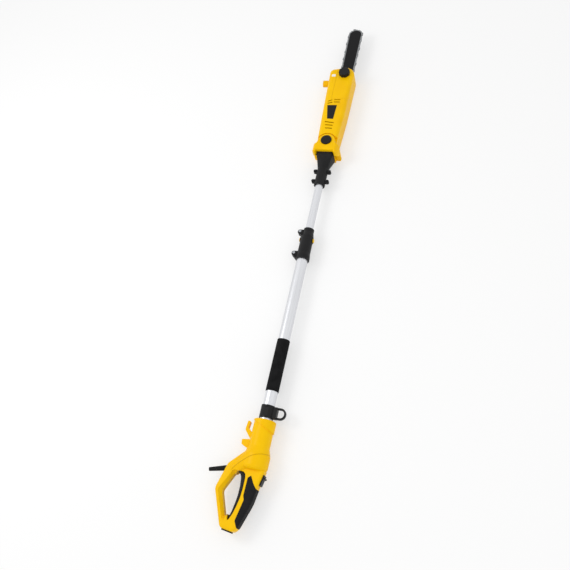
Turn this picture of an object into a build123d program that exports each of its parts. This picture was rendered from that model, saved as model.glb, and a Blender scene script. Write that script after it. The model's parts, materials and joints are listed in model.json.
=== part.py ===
"""A telescoping electric pole saw, lying on its back.

The pole runs along +Y towards the cutting head and +Z is up. The origin is on the
pole's axis, at the mouth of the handle. All sizes are in millimetres.
"""

import os
from math import asin, atan2, cos, degrees, hypot, pi, radians, sin

from build123d import *

# Fits and gaps
RUN = 0.05  # radial clearance of a piece that turns or slides in its bearing
SEAT = 0.1  # clearance of a fixed piece in its seat
AIR = 0.4  # least gap between pieces that pass each other
SEAM = 0.5  # gap that shows between two covers

# Pole
LOWER_RADIUS = 17.5
LOWER_WALL = 1.5
UPPER_RADIUS = 12.7
UPPER_WALL = 1.4
UPPER_SHOWN = 174.0  # bare upper tube between sleeve and neck
UPPER_INSIDE = 467.0  # upper tube below the sleeve's top
BUSH_LENGTH = 36.0
LEAD_RADIUS = 2.5
LEAD_COIL_RADIUS = 12.5
LEAD_GAP = 0.3

# Handle
REST_HALF = 37.0  # half thickness of the bell and of the head's back, which lie on the floor
BARREL_RADIUS = 30.0
MOUTH_RADIUS = 32.5
MOUTH_CENTRE_Y = -18.0  # where the slanted edge of the mouth collar crosses the axis
MOUTH_SLANT = 0.48
MOUTH_CHAMFER = 1.5
BARREL_END = -76.0
BELL_START = -98.0
BELL_END = -140.0
BARREL_FLARE = 16.0
BELL_CREASE = 3.0
BELL_ROUND = 12.0
SOCKET_END = -94.0
SOCKET_FLOOR = 4.0
HANDLE_WALL = 3.0
LEAD_HOLE_RADIUS = 9.0
LOOP_HALF = 18.0
LOOP_ROUND = 8.0
BEVEL_START = 9.0  # half height at which the opening starts to widen
HOOK_HALF = 7.0
# Shoulder from the bell to the loop: centre, direction, width, thickness and corner radius at each end
SHOULDER = [
    ((-8, -104), (-0.70, -0.714), 52, 66, 24),
    ((-68, -166), (-0.40, -0.916), 26, 34, 8),
]
# Corners of the loop, of its opening and of the two cord hooks: x, y and corner radius
LOOP = [
    (-12, -74, 0),
    (-29, -88, 22),
    (-74, -133, 14),
    (-94.5, -203, 24),
    (-55, -300, 14),
    (-15, -306, 14),
    (-5, -291, 30),
    (17, -228, 140),
    (24, -184, 60),
    (34, -138, 0),
    (20, -112, 0),
]
OPENING = [
    (-49, -157, 8),
    (-73, -206, 14),
    (-46, -276, 4),
    (-27, -226, 50),
    (-23, -190, 60),
    (-26, -157, 8),
]
OPENING_FRONT = [
    (-52, -149, 8),
    (-83.5, -206, 14),
    (-49, -287, 4),
    (-27, -226, 50),
    (-23, -190, 60),
    (-26, -149, 8),
]
UPPER_HOOK = [
    (-22, -66, 0),
    (-50, -33, 10),
    (-47, -7, 2.5),
    (-39.5, -8, 2.5),
    (-42, -27, 4),
    (-22, -44, 0),
]
LOWER_HOOK = [(-22, -57, 0), (-53, -61, 3), (-51, -75, 3), (-22, -88, 0)]

# Grip overmould
PAD_DEPTH = 1.8
PAD_PROUD = 0.5
PAD = [
    (1, -156, 1),
    (-7, -163, 4),
    (-8, -211, 5),
    (-4, -221, 8),
    (-16, -277, 8),
    (-6, -296, 0),
    (45, -260, 0),
    (45, -192, 0),
    (22, -188, 4),
    (11, -174, 10),
]
PAD_GROOVES = 4
PAD_GROOVE_PITCH = 20.5
PAD_GROOVE_START = -211.0
PAD_GROOVE_RADIUS = 1.6

# Trigger, its pivot and its switch
TRIGGER_HALF = 6.0
TRIGGER_TURN = 4.0
TRIGGER_PIVOT = (-40.0, -281.0)
TRIGGER_PIN_RADIUS = 2.0
TRIGGER_PIN_HALF = 12.0
TRIGGER_EYE = 5.0
TRIGGER_FRONT = [(-45, -283, 3), (-30, -222, 60), (-31, -186, 60), (-37, -160, 8), (-44, -154, 1.5)]
TRIGGER_BACK = [(-41, -149, 3), (-20, -151, 4), (-16, -190, 60), (-18, -226, 60), (-36, -283, 3)]
PADDLE_HALF = 14.5  # half width of the part that the fingers press
PADDLE_TOP = -158.5
PADDLE_FRONT = [(-39.8, -262, 2), (-30, -222, 60), (-31, -186, 60), (-36.5, -163, 6), (-40, PADDLE_TOP, 1)]
PADDLE_BACK = [(-26, PADDLE_TOP, 2), (-24.5, -186, 60), (-23.5, -222, 60), (-33, -262, 2)]
PADDLE_ROUND = 2.0
SWITCH_WIDTH = 17.0
SWITCH_HALF = 8.0
SWITCH_TOP = -168.0
SWITCH_LENGTH = 28.0
PLUNGER_RADIUS = 2.5
WIRE_WAY = 8.0  # square hole for the wires from the bell to the switch
WIRE_WAY_X = 3.0
SPRING_WIRE = 0.8
TRIGGER_SPRING_RADIUS = 3.4
TRIGGER_SPRING_Y = -214.0
SPRING_POCKET = 5.0

# Lock-off slide on the grip's outer edge
LOCK_FOOT = (24.0, -184.0)  # two points on the grip's outer edge
LOCK_HEAD = (34.0, -138.0)
LOCK_LENGTH = 31.0
LOCK_HALF = 10.0
LOCK_HEIGHT = 4.2
LOCK_NUB = 4.0
LOCK_START = 7.0
LOCK_NUB_AT = 29.0
LOCK_TRAVEL = 5.0
LOCK_LIP = 4.0
LOCK_STEM = 9.0
LOCK_STEM_HALF = 4.0
LOCK_STEM_DEPTH = 7.0

# Cable entry
BOOT_BASE = (-75.0, -144.5)
BOOT_DIRECTION = (-0.972, -0.235)
BOOT_LENGTH = 54.0
BOOT_SEAT = 13.0
BOOT_ROOT_RADIUS = 7.7
BOOT_TIP_RADIUS = 5.3
CABLE_RADIUS = 3.5
CABLE_RUN = 47.0
CLAMP_SIZE = (10.0, 12.0, 12.0)
CLAMP_X = -22.0

# Foot
FOOT_LENGTH = 27.0
FOOT_HALF = 11.0
FOOT_DEPTH = 3.0
FOOT_PROUD = 3.5

# Screws: thread radius, head radius and head height
SCREW_RADIUS = 1.75
SCREW_HEAD_RADIUS = 3.5
SCREW_HEAD_HEIGHT = 2.6
SCREW_GRIP = 9.0
HANDLE_SCREWS = [(-83.5, -203), (-62, -256), (-27, -294), (-50, -122), (-24, -70), (24, -70), (24, -28)]
HANDLE_SCREW_SEAT = -10.0

# Strap collar
STRAP_START = 7.0
STRAP_LENGTH = 37.0
STRAP_RADIUS = 20.5
STRAP_BOSS_REACH = 30.0
STRAP_BOSS_HALF = 9.0
EYE_REACH = 56.0
EYE_HALF = 3.6
EYE_MARGIN = 1.5  # collar left above and below the eye
EYE_BAR = 5.5
EYE_ROUND = 16.5
STRAP_PANEL = (24.0, 25.0, 2.4)
PANEL_GROOVE = 2.2
PANEL_GROOVE_DEPTH = 2.0

# Foam grip
FOAM_START = 87.0
FOAM_LENGTH = 161.0
FOAM_RADIUS = 19.3

# Telescope sleeve
SLEEVE_START = 524.0
SLEEVE_LENGTH = 113.0
SLEEVE_SOCKET = 60.0
SLEEVE_RADIUS = 20.5
SLEEVE_FLANGE_RADIUS = 22.5
SLEEVE_FLANGE = 12.0
SLEEVE_TIP_RADIUS = 17.0
SLEEVE_SHOULDER = 2.0  # straight run above the lock buttons, before the taper
SLEEVE_SLIT = 1.6
LUG_RADIUS = 7.5
LUG_HALF = 9.0
LUG_FOOT = 4.0  # how far the lug's outer edge runs below its bolt
# Bolt's x, its y above the sleeve's start, and the web below it
SLEEVE_LUGS = [(-30.0, 20.0, 20.0), (-26.0, 100.0, 13.0)]
LUG_SLIT = 24.0
BOLT_RADIUS = 2.5
BOLT_HEAD_RADIUS = 4.5
BOLT_HEAD_HEIGHT = 3.5
CATCH_OFFSET = 13.0  # lock buttons above the lower tube's end
CATCH_RADIUS = 6.5
CATCH_REACH = 23.6
CATCH_HEAD = 3.8
CATCH_ROUND = 1.2
CATCH_STEM_RADIUS = 3.0
CATCH_STEM = 3.9
CATCH_FLOOR = 17.0
CATCH_BOSS_RADIUS = 9.5
CATCH_BOSS_REACH = 21.2

# Neck and yoke, measured from the tilt pivot
NECK_BELOW = 161.0
NECK_SOCKET = 67.0
NECK_RADIUS = 18.5
NECK_TOP_HALF = 29.0
NECK_LUG_RADIUS = 5.5
NECK_LUG_HALF = 6.0
NECK_SCREW_REACH = 24.5
NECK_LUGS = (17.0, 57.0)
NECK_FULL = 46.0  # below the pivot, where the neck reaches its full section
NECK_CUT = 22.0
NECK_CORNER = 9.0
CRADLE_GAP = 1.0
YOKE_TOP_RADIUS = 30.0
YOKE_SHOULDER = 10.0  # angle at which the round top starts
YOKE_FRONT = 41.0
CHEEK_INSIDE = 27.0
YOKE_ROUND = 6.0
YOKE_FIT = 0.6  # between the wings and the neck
YOKE_SIDE = [(34, -10, 14), (48, -17, 9), (46, -48, 8)]
WING_FOOT = (-48.0, 7.0)  # lowest edge of the front wings and its corner radius
CHEEK_FOOT = (-38.0, 2.5)  # lowest edge of the cheeks and the radius of the corner above it
WING_SLANT = [(-48.5, 17.0), (-34.6, 0.0), (-48.5, 0.0)]  # underside of the front wings: y and z
REAR_WING_FOOT = -27.0
WING_CLEAR = 41.0
YOKE_SCREW = (41.0, -22.0)
PIVOT_RADIUS = 4.0
PIVOT_HEAD_RADIUS = 6.5
PIVOT_HEAD_HEIGHT = 4.0
PIVOT_NUT_RADIUS = 7.5
BUTTON_RADIUS = 18.2
BUTTON_FRONT = 45.5
BUTTON_HEIGHT = 8.0
BUTTON_TRAVEL = 5.0
BUTTON_ROUND = 1.5
TILT_SPRING_RADIUS = 14.0
HUB_FLOOR = 4.0

# Head housing, measured from the tilt pivot
HEAD_FRONT = 40.0
HEAD_WALL = 2.8
HEAD_ROUND = 14.0
KNUCKLE_RADIUS = 34.0
KNUCKLE_STEP = 20.0
KNUCKLE_CLEAR = 1.5  # round the yoke's top
LEAD_WAY = (-18.0, 5.0)  # x and radius of the lead's hole through the knuckle
# Corners of the head, up its right-hand side and down its left: x, y and radius
HEAD_RIGHT = (41.0, 130.0, 400)
HEAD_TOP_RIGHT = (44.0, 345.0, 32)
HEAD_TOP_LEFT = (-47.0, 328.0, 18)
HEAD_LEFT = (-40.5, 150.0, 400)
COVER_LEFT = -17.0
COVER_START = 186.0
RIM = 7.0  # height of the seam between the back shell and the sprocket cover
HEAD_SCREWS = [(29, 30), (-29, 30), (33, 165), (-31, 104), (-34, 165)]
HEAD_SCREW_SEAT = -28.0
BOSS_RADIUS = 4.5
PLATE_PILLARS = [(39, 292), (-11, 301)]
VENT_HEIGHT = 4.0
# Ends of each vent: x and y
LOWER_VENTS = [((-20, 81), (12, 77)), ((-17, 67.5), (10, 65.5)), ((-14, 53.5), (10, 52.5))]
UPPER_VENTS = [
    ((-26, 173), (-12, 180)),
    ((-26, 163), (-10, 169)),
    ((-5, 180.5), (17, 180.5)),
    ((-5, 170), (17, 170)),
]
LABEL = [(-25, 155, 1.5), (9, 155.5, 1.5), (6.5, 93.5, 1.5), (-15, 94.5, 1.5)]
LABEL_DEPTH = 0.5
LABEL_PROUD = 0.3
WINDOW_CENTRE = (-27.5, 294.0)
WINDOW_SIZE = (14.0, 11.0)
WINDOW_ROUND = 3.0
WINDOW_PROUD = 0.3

# Bar, chain and sprocket
BAR_X = 10.5
BAR_Z = 12.0
BAR_THICKNESS = 4.0
SPROCKET_ABOVE = 252.5
CHAIN_PITCH = 9.525
DRIVE_LINKS = 36
SPROCKET_TEETH = 7
NOSE_RADIUS = 24.0  # rivet line round the bar's nose
RAIL_DROP = 2.8  # bar edge below the rivet line
GROOVE_DEPTH = 6.5
GROOVE_WIDTH = 1.7
LINK_THICKNESS = 1.3
LINK_GAP = 0.1
BAR_TAIL = 27.0  # bar's tail above the sprocket's axis
STUD_ABOVE = 302.0
STUD_RADIUS = 4.0
BAR_SLOT = 30.0
PLATE_THICKNESS = 3.0
SPROCKET_THICKNESS = 3.4
SPROCKET_HUB_RADIUS = 9.0
SHAFT_RADIUS = 5.0
BEARING_RADIUS = 9.0
BEARING_LENGTH = 6.0
KNOB_RADIUS = 19.5
KNOB_HEIGHT = 14.0
KNOB_LOBES = 8
KNOB_SCALLOP = 4.0
KNOB_ROUND = 1.5
KNOB_ROOF = 4.0
STUD_HEAD_RADIUS = 7.0
TENSIONER_X = 21.0
TENSIONER_ABOVE = 285.0
TENSIONER_Z = -2.0
TENSIONER_ROD = 2.5
TENSIONER_PIN = 2.0
TENSIONER_BLOCK = 4.0
TENSIONER_LENGTH = 51.0  # rod above the pin
TENSIONER_PLAY = 7.0
CHAIN_GAP = 2.0  # round the chain where it leaves the head
CUTTER_TOP = 4.6
# Half outlines along the chain: x along the rivet line, y away from the bar
DRIVE_LINK = [(-7.6, -0.5), (-6.5, 2.6), (6.5, 2.6), (7.6, -0.5), (5.5, -3), (3, -8), (-2, -8), (-5.5, -3)]
TIE_STRAP = [(-7.8, -1.2), (-7.8, 1.2), (-5.6, 2.6), (5.6, 2.6), (7.8, 1.2), (7.8, -1.2), (6, -2.3), (-6, -2.3)]
CUTTER = [
    (-7.8, -1.2),
    (-7.8, CUTTER_TOP),
    (1.5, CUTTER_TOP - 0.5),
    (2.2, 2.0),
    (4.0, 2.0),
    (4.6, CUTTER_TOP - 1),
    (7.0, CUTTER_TOP - 1.4),
    (7.8, -1.2),
    (6, -2.3),
    (-6, -2.3),
]
CUTTER_PLATE = 1.2
CUTTER_WIDE = 3.2
TOOTH_ROOT = 12.3
TOOTH_TIP = 17.6
TOOTH_ROOT_WIDE = 4.8
TOOTH_TIP_WIDE = 3.2

# Motor and gears
MOTOR_Z = -6.0
STATOR_RADIUS = 23.0
STATOR_START = 76.0
STATOR_LENGTH = 56.0
STATOR_BORE = 16.5
ROTOR_GAP = 0.6
COMMUTATOR_RADIUS = 11.0
COMMUTATOR_START = 54.0
COMMUTATOR_LENGTH = 15.0
BRUSH_LENGTH = 9.0
BRUSH_HALF = 4.0
ROTOR_SHORT = 2.0  # rotor core inside each end of the stator
FAN_RADIUS = 24.0
FAN_START = 140.0
FAN_LENGTH = 10.0
FAN_BLADES = 9
FAN_SHEET = 2.0
FAN_HUB = 7.0
MOTOR_SHAFT_RADIUS = 4.0
MOTOR_BEARING_RADIUS = 8.0
MOTOR_BEARING_LENGTH = 7.0
LOWER_BEARING = 43.0
UPPER_BEARING = 202.0
RIB = 6.0
STATOR_RIBS = (86.0, 120.0)
PINION_TEETH = 8
GEAR_TEETH = 28
MODULE = 1.75
GEAR_FACE = 8.0
GEAR_BODY = 9.0
GEAR_HUB = 9.0
PINION_HUB = 8.0
PINION_HUB_RADIUS = 6.0
PINION_GRIP = 6.0

# Oil system
TANK_START = 196.0
TANK_END = 316.0
TANK_WALL = 1.6
FILLER_ABOVE = 291.0
FILLER_RADIUS = 7.0
FILLER_REACH = 57.0
CAP_RADIUS = 12.0
CAP_LENGTH = 24.0
CAP_RIBS = 12
CAP_RIB = 2.0
PUMP_SIZE = (14.0, 20.0, 12.0)
PUMP_PLACE = (22.0, 292.0)

# Worked-out places
STAND = (Align.CENTER, Align.CENTER, Align.MIN)
LOWER_END = SLEEVE_START + SLEEVE_SOCKET
SLEEVE_END = SLEEVE_START + SLEEVE_LENGTH
UPPER_START = SLEEVE_END - UPPER_INSIDE
NECK_START = SLEEVE_END + UPPER_SHOWN
UPPER_END = NECK_START + NECK_SOCKET
PIVOT_Y = NECK_START + NECK_BELOW
LOWER_BORE = LOWER_RADIUS - LOWER_WALL
KNUCKLE_HALF = CHEEK_INSIDE - AIR
SPROCKET_Y = PIVOT_Y + SPROCKET_ABOVE
STUD_Y = PIVOT_Y + STUD_ABOVE
SPROCKET_RADIUS = SPROCKET_TEETH * CHAIN_PITCH / pi
PLATE_LOW = RIM - PLATE_THICKNESS
BAR_LOW = BAR_Z - BAR_THICKNESS / 2
HEAD_INSIDE = HEAD_FRONT - HEAD_WALL
BACK_INSIDE = -REST_HALF + HEAD_WALL


def turned(points, x=0.0, z=0.0):
    """A solid turned about a line along the pole, from (radius, y) corners."""
    with BuildPart() as body:
        with BuildSketch(Plane((x, 0, z))):
            with BuildLine():
                Polyline(*points, close=True)
            make_face()
        revolve(axis=Axis((x, 0, z), (0, 1, 0)))
    return body.part


def tube(outer, inner, start, end, x=0.0, z=0.0):
    """A tube along the pole between two stations."""
    return turned([(inner, start), (outer, start), (outer, end), (inner, end)], x, z)


def disc(radius, low, high, x=0.0, y=0.0):
    """A round bar standing on the floor plane, between two heights."""
    with BuildPart() as body:
        with BuildSketch(Plane((x, y, low))):
            Circle(radius)
        extrude(amount=high - low)
    return body.part


def ring(outer, inner, low, high, x=0.0, y=0.0):
    """A standing tube between two heights."""
    with BuildPart() as body:
        with BuildSketch(Plane((x, y, low))):
            Circle(outer)
            Circle(inner, mode=Mode.SUBTRACT)
        extrude(amount=high - low)
    return body.part


def block(low, high):
    """A box between two opposite corners."""
    size = [b - a for a, b in zip(low, high)]
    with BuildPart() as body:
        with Locations(Vector(*low)):
            Box(*size, align=(Align.MIN, Align.MIN, Align.MIN))
    return body.part


def plate(corners, low, high, origin=(0.0, 0.0), grow=0.0):
    """A flat piece between two heights, from (x, y, corner radius) corners."""
    with BuildPart() as body:
        with BuildSketch(Plane((*origin, low))):
            with BuildLine():
                FilletPolyline(*[c[:2] for c in corners], radius=[c[2] for c in corners], close=True)
            make_face()
            if grow:
                offset(amount=grow)
        extrude(amount=high - low)
    return body.part


def screw(x, y, seat, tip):
    """A pan-head screw along Z, from its head's seat to its tip, pointing up or down."""
    up = 1 if tip > seat else -1
    with BuildPart() as body:
        add(disc(SCREW_HEAD_RADIUS, *sorted((seat - up * SCREW_HEAD_HEIGHT, seat)), x, y))
        add(disc(SCREW_RADIUS, *sorted((seat, tip)), x, y))
    return body.part


def screw_hole(x, y, seat, tip):
    """The hole and the open recess that such a screw needs."""
    up = 1 if tip > seat else -1
    with BuildPart() as body:
        add(disc(SCREW_HEAD_RADIUS + SEAT, *sorted((-up * 2 * REST_HALF, seat)), x, y))
        add(disc(SCREW_RADIUS + SEAT, *sorted((seat, tip + up * SEAT)), x, y))
    return body.part


# Handle


def loop_blank(grow):
    """The handle's loop without its opening, grown by some amount on every side."""
    with BuildPart() as blank:
        with BuildSketch(Plane.XY.offset(-LOOP_HALF - grow)):
            with BuildLine():
                FilletPolyline(*[c[:2] for c in LOOP], radius=[c[2] for c in LOOP], close=True)
            make_face()
            if grow:
                offset(amount=grow)
        extrude(amount=2 * (LOOP_HALF + grow))
        fillet(blank.faces().filter_by(Axis.Z).edges(), LOOP_ROUND + grow)
    return blank.part


def turn_about(point, centre, angle):
    """A point turned clockwise about a centre, in the XY plane."""
    x, y = point[0] - centre[0], point[1] - centre[1]
    c, s = cos(radians(-angle)), sin(radians(-angle))
    return centre[0] + c * x - s * y, centre[1] + s * x + c * y


# Slot for the trigger: its own outline, swept to the end of its travel
slot_back = [(*turn_about(c, TRIGGER_PIVOT, TRIGGER_TURN), c[2]) for c in TRIGGER_BACK]
slot_shift = AIR / sin(radians(45))
trigger_slot = [(TRIGGER_FRONT[0][0] - 2 * AIR, TRIGGER_FRONT[0][1] - slot_shift, 0)]
trigger_slot += [(x - 2 * AIR, y, 0) for x, y, r in TRIGGER_FRONT[1:]]
trigger_slot += [(TRIGGER_BACK[0][0], TRIGGER_BACK[0][1] + slot_shift, 0)]
trigger_slot += [(x + slot_shift, y + slot_shift, r) for x, y, r in slot_back[:-1]]
trigger_slot += [(slot_back[-1][0] + slot_shift, TRIGGER_BACK[-1][1] - slot_shift, 0)]
back_top, back_low = TRIGGER_BACK[2], TRIGGER_BACK[3]
back_slope = (back_low[0] - back_top[0]) / (back_low[1] - back_top[1])
spring_foot = back_top[0] + back_slope * (TRIGGER_SPRING_Y - back_top[1])
spring_floor = turn_about((spring_foot, TRIGGER_SPRING_Y), TRIGGER_PIVOT, TRIGGER_TURN)[0] + SPRING_POCKET
switch_left = turn_about((back_top[0], SWITCH_TOP), TRIGGER_PIVOT, TRIGGER_TURN)[0] + AIR + PLUNGER_RADIUS

# Pocket for the paddle, from the open hand hole back to where the pressed paddle ends
paddle_back = [turn_about(c, TRIGGER_PIVOT, TRIGGER_TURN) for c in PADDLE_BACK]
pocket_front = (OPENING[0][0], PADDLE_TOP + 2 * AIR)
pocket_low = paddle_back[-1][1] - 2 * AIR
paddle_pocket = [(*pocket_front, 0), (paddle_back[0][0] + slot_shift, pocket_front[1], 0)]
paddle_pocket += [(x + slot_shift, y, 0) for x, y in paddle_back[1:-1]]
paddle_pocket += [(paddle_back[-1][0] + slot_shift, pocket_low, 0), (pocket_front[0], pocket_low, 0)]

# Frame on the grip's outer edge: x along the edge, y into the grip
edge_run = (LOCK_HEAD[0] - LOCK_FOOT[0], LOCK_HEAD[1] - LOCK_FOOT[1])
edge_length = hypot(*edge_run)
edge_dir = (edge_run[0] / edge_length, edge_run[1] / edge_length, 0)
LOCK_PLANE = Plane((*LOCK_FOOT, 0), x_dir=edge_dir, z_dir=(0, 0, 1))
lock_stem_start = LOCK_START + LOCK_LIP
lock_slot_end = lock_stem_start + LOCK_STEM + LOCK_TRAVEL + LOCK_LIP

# Frame of the cable boot: z along the boot, out of the handle
BOOT_PLANE = Plane((*BOOT_BASE, 0), x_dir=(0, 0, 1), z_dir=(*BOOT_DIRECTION, 0))

# Frame on the handle's bottom edge: x along the edge, y into the handle
foot_from, foot_to = LOOP[4], LOOP[5]
foot_run = (foot_to[0] - foot_from[0], foot_to[1] - foot_from[1])
foot_mid = ((foot_from[0] + foot_to[0]) / 2, (foot_from[1] + foot_to[1]) / 2, 0)
FOOT_PLANE = Plane(foot_mid, x_dir=(*foot_run, 0), z_dir=(0, 0, 1))

with BuildPart() as pad_region:
    add(plate(PAD, -2 * LOOP_HALF, 2 * LOOP_HALF))
    add(loop_blank(-PAD_DEPTH), mode=Mode.SUBTRACT)

with BuildPart() as mouth_collar:
    add(tube(MOUTH_RADIUS, 0, 2 * MOUTH_CENTRE_Y, 0))
    chamfer(mouth_collar.edges().sort_by(Axis.Y)[-1], MOUTH_CHAMFER)
    split(bisect_by=Plane((0, MOUTH_CENTRE_Y, 0), z_dir=(MOUTH_SLANT, 1, 0)))

with BuildPart() as shoulder:
    for centre, direction, width, thickness, corner in SHOULDER:
        across = (direction[1], -direction[0], 0)
        with BuildSketch(Plane((*centre, 0), x_dir=across, z_dir=(*direction, 0))):
            RectangleRounded(width, thickness, corner)
    loft()

# The hand opening, which widens towards the front
with BuildPart() as front_opening:
    for corners, height in ((OPENING, BEVEL_START), (OPENING_FRONT, LOOP_HALF)):
        with BuildSketch(Plane.XY.offset(height)):
            with BuildLine():
                FilletPolyline(*[c[:2] for c in corners], radius=[c[2] for c in corners], close=True)
            make_face()
    loft(ruled=True)
    add(plate(OPENING, 0, BEVEL_START))
    add(plate(OPENING_FRONT, LOOP_HALF, 2 * REST_HALF))

with BuildPart() as hand_loop:
    add(loop_blank(0))
    add(shoulder.part)
    add(front_opening.part, mode=Mode.SUBTRACT)
    add(front_opening.part.mirror(Plane.XY), mode=Mode.SUBTRACT)

with BuildPart() as handle:
    # Barrel and bell round the pole's end
    with BuildSketch():
        with BuildLine():
            FilletPolyline(
                (0, 0),
                (BARREL_RADIUS, 0),
                (BARREL_RADIUS, BARREL_END),
                (REST_HALF, BELL_START),
                (REST_HALF, BELL_END),
                (0, BELL_END),
                radius=[0, 0, BARREL_FLARE, BELL_CREASE, BELL_ROUND, 0],
                close=True,
            )
        make_face()
    revolve(axis=Axis.Y)
    add(mouth_collar.part)
    add(hand_loop.part)
    add(plate(UPPER_HOOK, -HOOK_HALF, HOOK_HALF))
    add(plate(LOWER_HOOK, -HOOK_HALF, HOOK_HALF))
    # Socket for the pole and the room below it
    add(tube(LOWER_RADIUS + SEAT, 0, SOCKET_END, 1), mode=Mode.SUBTRACT)
    add(tube(LEAD_HOLE_RADIUS, 0, BELL_END + HANDLE_WALL, SOCKET_END), mode=Mode.SUBTRACT)
    bell_room = REST_HALF - HANDLE_WALL
    add(tube(bell_room, 0, BELL_END + HANDLE_WALL, SOCKET_END - SOCKET_FLOOR), mode=Mode.SUBTRACT)
    # Trigger slot, switch pocket, spring pocket and the wires' way to the switch
    add(plate(trigger_slot, -TRIGGER_HALF - AIR, TRIGGER_HALF + AIR), mode=Mode.SUBTRACT)
    add(disc(TRIGGER_EYE + AIR, -TRIGGER_HALF - AIR, TRIGGER_HALF + AIR, *TRIGGER_PIVOT), mode=Mode.SUBTRACT)
    add(plate(paddle_pocket, -PADDLE_HALF - AIR, PADDLE_HALF + AIR), mode=Mode.SUBTRACT)
    pin_room = TRIGGER_PIN_HALF + SEAT
    add(disc(TRIGGER_PIN_RADIUS + SEAT, -pin_room, pin_room, *TRIGGER_PIVOT), mode=Mode.SUBTRACT)
    add(
        block(
            (switch_left - PLUNGER_RADIUS - AIR, SWITCH_TOP - SWITCH_LENGTH, -SWITCH_HALF),
            (switch_left + SWITCH_WIDTH, SWITCH_TOP, SWITCH_HALF),
        ),
        mode=Mode.SUBTRACT,
    )
    add(
        block(
            (WIRE_WAY_X - WIRE_WAY / 2, SWITCH_TOP - 1, -WIRE_WAY / 2),
            (WIRE_WAY_X + WIRE_WAY / 2, BELL_END + HANDLE_WALL + 1, WIRE_WAY / 2),
        ),
        mode=Mode.SUBTRACT,
    )
    with Locations(Plane((spring_floor, TRIGGER_SPRING_Y, 0), z_dir=(-1, 0, 0))):
        Cylinder(TRIGGER_SPRING_RADIUS + AIR, SPRING_POCKET + 2, align=STAND, mode=Mode.SUBTRACT)
    # Slot for the lock-off slide
    with BuildSketch(LOCK_PLANE.offset(-LOCK_STEM_HALF - AIR)):
        with Locations(((lock_stem_start - AIR + lock_slot_end) / 2, 0)):
            Rectangle(lock_slot_end - lock_stem_start + AIR, 2 * (LOCK_STEM_DEPTH + AIR))
    extrude(amount=2 * (LOCK_STEM_HALF + AIR), mode=Mode.SUBTRACT)
    # Cable boot's seat and the cable's way in
    with Locations(BOOT_PLANE.offset(-BOOT_SEAT)):
        Cylinder(BOOT_ROOT_RADIUS + SEAT, 2 * BOOT_SEAT, align=STAND, mode=Mode.SUBTRACT)
        Cylinder(CABLE_RADIUS + AIR, 2 * CABLE_RUN, mode=Mode.SUBTRACT)
    # Recesses for the foot, the overmould and the screws
    with BuildSketch(FOOT_PLANE.offset(-FOOT_HALF - SEAT)):
        Rectangle(FOOT_LENGTH + 2 * SEAT, 2 * FOOT_DEPTH)
    extrude(amount=2 * (FOOT_HALF + SEAT), mode=Mode.SUBTRACT)
    add(pad_region.part, mode=Mode.SUBTRACT)
    for x, y in HANDLE_SCREWS:
        add(screw_hole(x, y, HANDLE_SCREW_SEAT, SCREW_GRIP), mode=Mode.SUBTRACT)

with BuildPart() as handle_shell_front:
    add(handle.part)
    split(bisect_by=Plane.XY, keep=Keep.TOP)

with BuildPart() as handle_shell_rear:
    add(handle.part)
    split(bisect_by=Plane.XY, keep=Keep.BOTTOM)

with BuildPart() as handle_screws:
    for x, y in HANDLE_SCREWS:
        add(screw(x, y, HANDLE_SCREW_SEAT, SCREW_GRIP))

edge_low, edge_high = LOOP[6], LOOP[7]
edge_lean = (edge_high[0] - edge_low[0]) / (edge_high[1] - edge_low[1])

with BuildPart() as grip_pad:
    add(loop_blank(PAD_PROUD))
    add(pad_region.part, mode=Mode.INTERSECT)
    # Finger notches across the outer edge
    for notch in range(PAD_GROOVES):
        y = PAD_GROOVE_START - notch * PAD_GROOVE_PITCH
        x = edge_high[0] + edge_lean * (y - edge_high[1]) + PAD_PROUD
        add(disc(PAD_GROOVE_RADIUS, -2 * LOOP_HALF, 2 * LOOP_HALF, x, y), mode=Mode.SUBTRACT)

with BuildPart() as grip_pad_front:
    add(grip_pad.part)
    split(bisect_by=Plane.XY, keep=Keep.TOP)

with BuildPart() as grip_pad_rear:
    add(grip_pad.part)
    split(bisect_by=Plane.XY, keep=Keep.BOTTOM)

with BuildPart() as trigger:
    add(plate(PADDLE_FRONT + PADDLE_BACK, -PADDLE_HALF, PADDLE_HALF))
    fillet(trigger.faces().filter_by(Axis.Z).edges(), PADDLE_ROUND)
    add(plate(TRIGGER_FRONT + TRIGGER_BACK, -TRIGGER_HALF, TRIGGER_HALF))
    add(disc(TRIGGER_EYE, -TRIGGER_HALF, TRIGGER_HALF, *TRIGGER_PIVOT))
    add(disc(TRIGGER_PIN_RADIUS + RUN, -LOOP_HALF, LOOP_HALF, *TRIGGER_PIVOT), mode=Mode.SUBTRACT)

with BuildPart() as trigger_pin:
    add(disc(TRIGGER_PIN_RADIUS, -TRIGGER_PIN_HALF, TRIGGER_PIN_HALF, *TRIGGER_PIVOT))


with BuildPart() as power_switch:
    add(
        block(
            (switch_left, SWITCH_TOP - SWITCH_LENGTH + SEAT, -SWITCH_HALF + SEAT),
            (switch_left + SWITCH_WIDTH - SEAT, SWITCH_TOP - SEAT, SWITCH_HALF - SEAT),
        )
    )
    with Locations(Plane((switch_left, SWITCH_TOP - SWITCH_LENGTH / 2, 0), z_dir=(-1, 0, 0))):
        Cylinder(PLUNGER_RADIUS, PLUNGER_RADIUS, align=STAND)


def spring(radius, length, plane):
    """A compression spring, as the sleeve that its turns fill."""
    with BuildPart() as body:
        with BuildSketch(plane):
            Circle(radius)
            Circle(radius - 2 * SPRING_WIRE, mode=Mode.SUBTRACT)
        extrude(amount=length)
    return body.part


with BuildPart() as trigger_spring:
    spring_seat = Plane((spring_floor, TRIGGER_SPRING_Y, 0), z_dir=(-1, 0, 0))
    add(spring(TRIGGER_SPRING_RADIUS, spring_floor - spring_foot - AIR, spring_seat))

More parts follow.
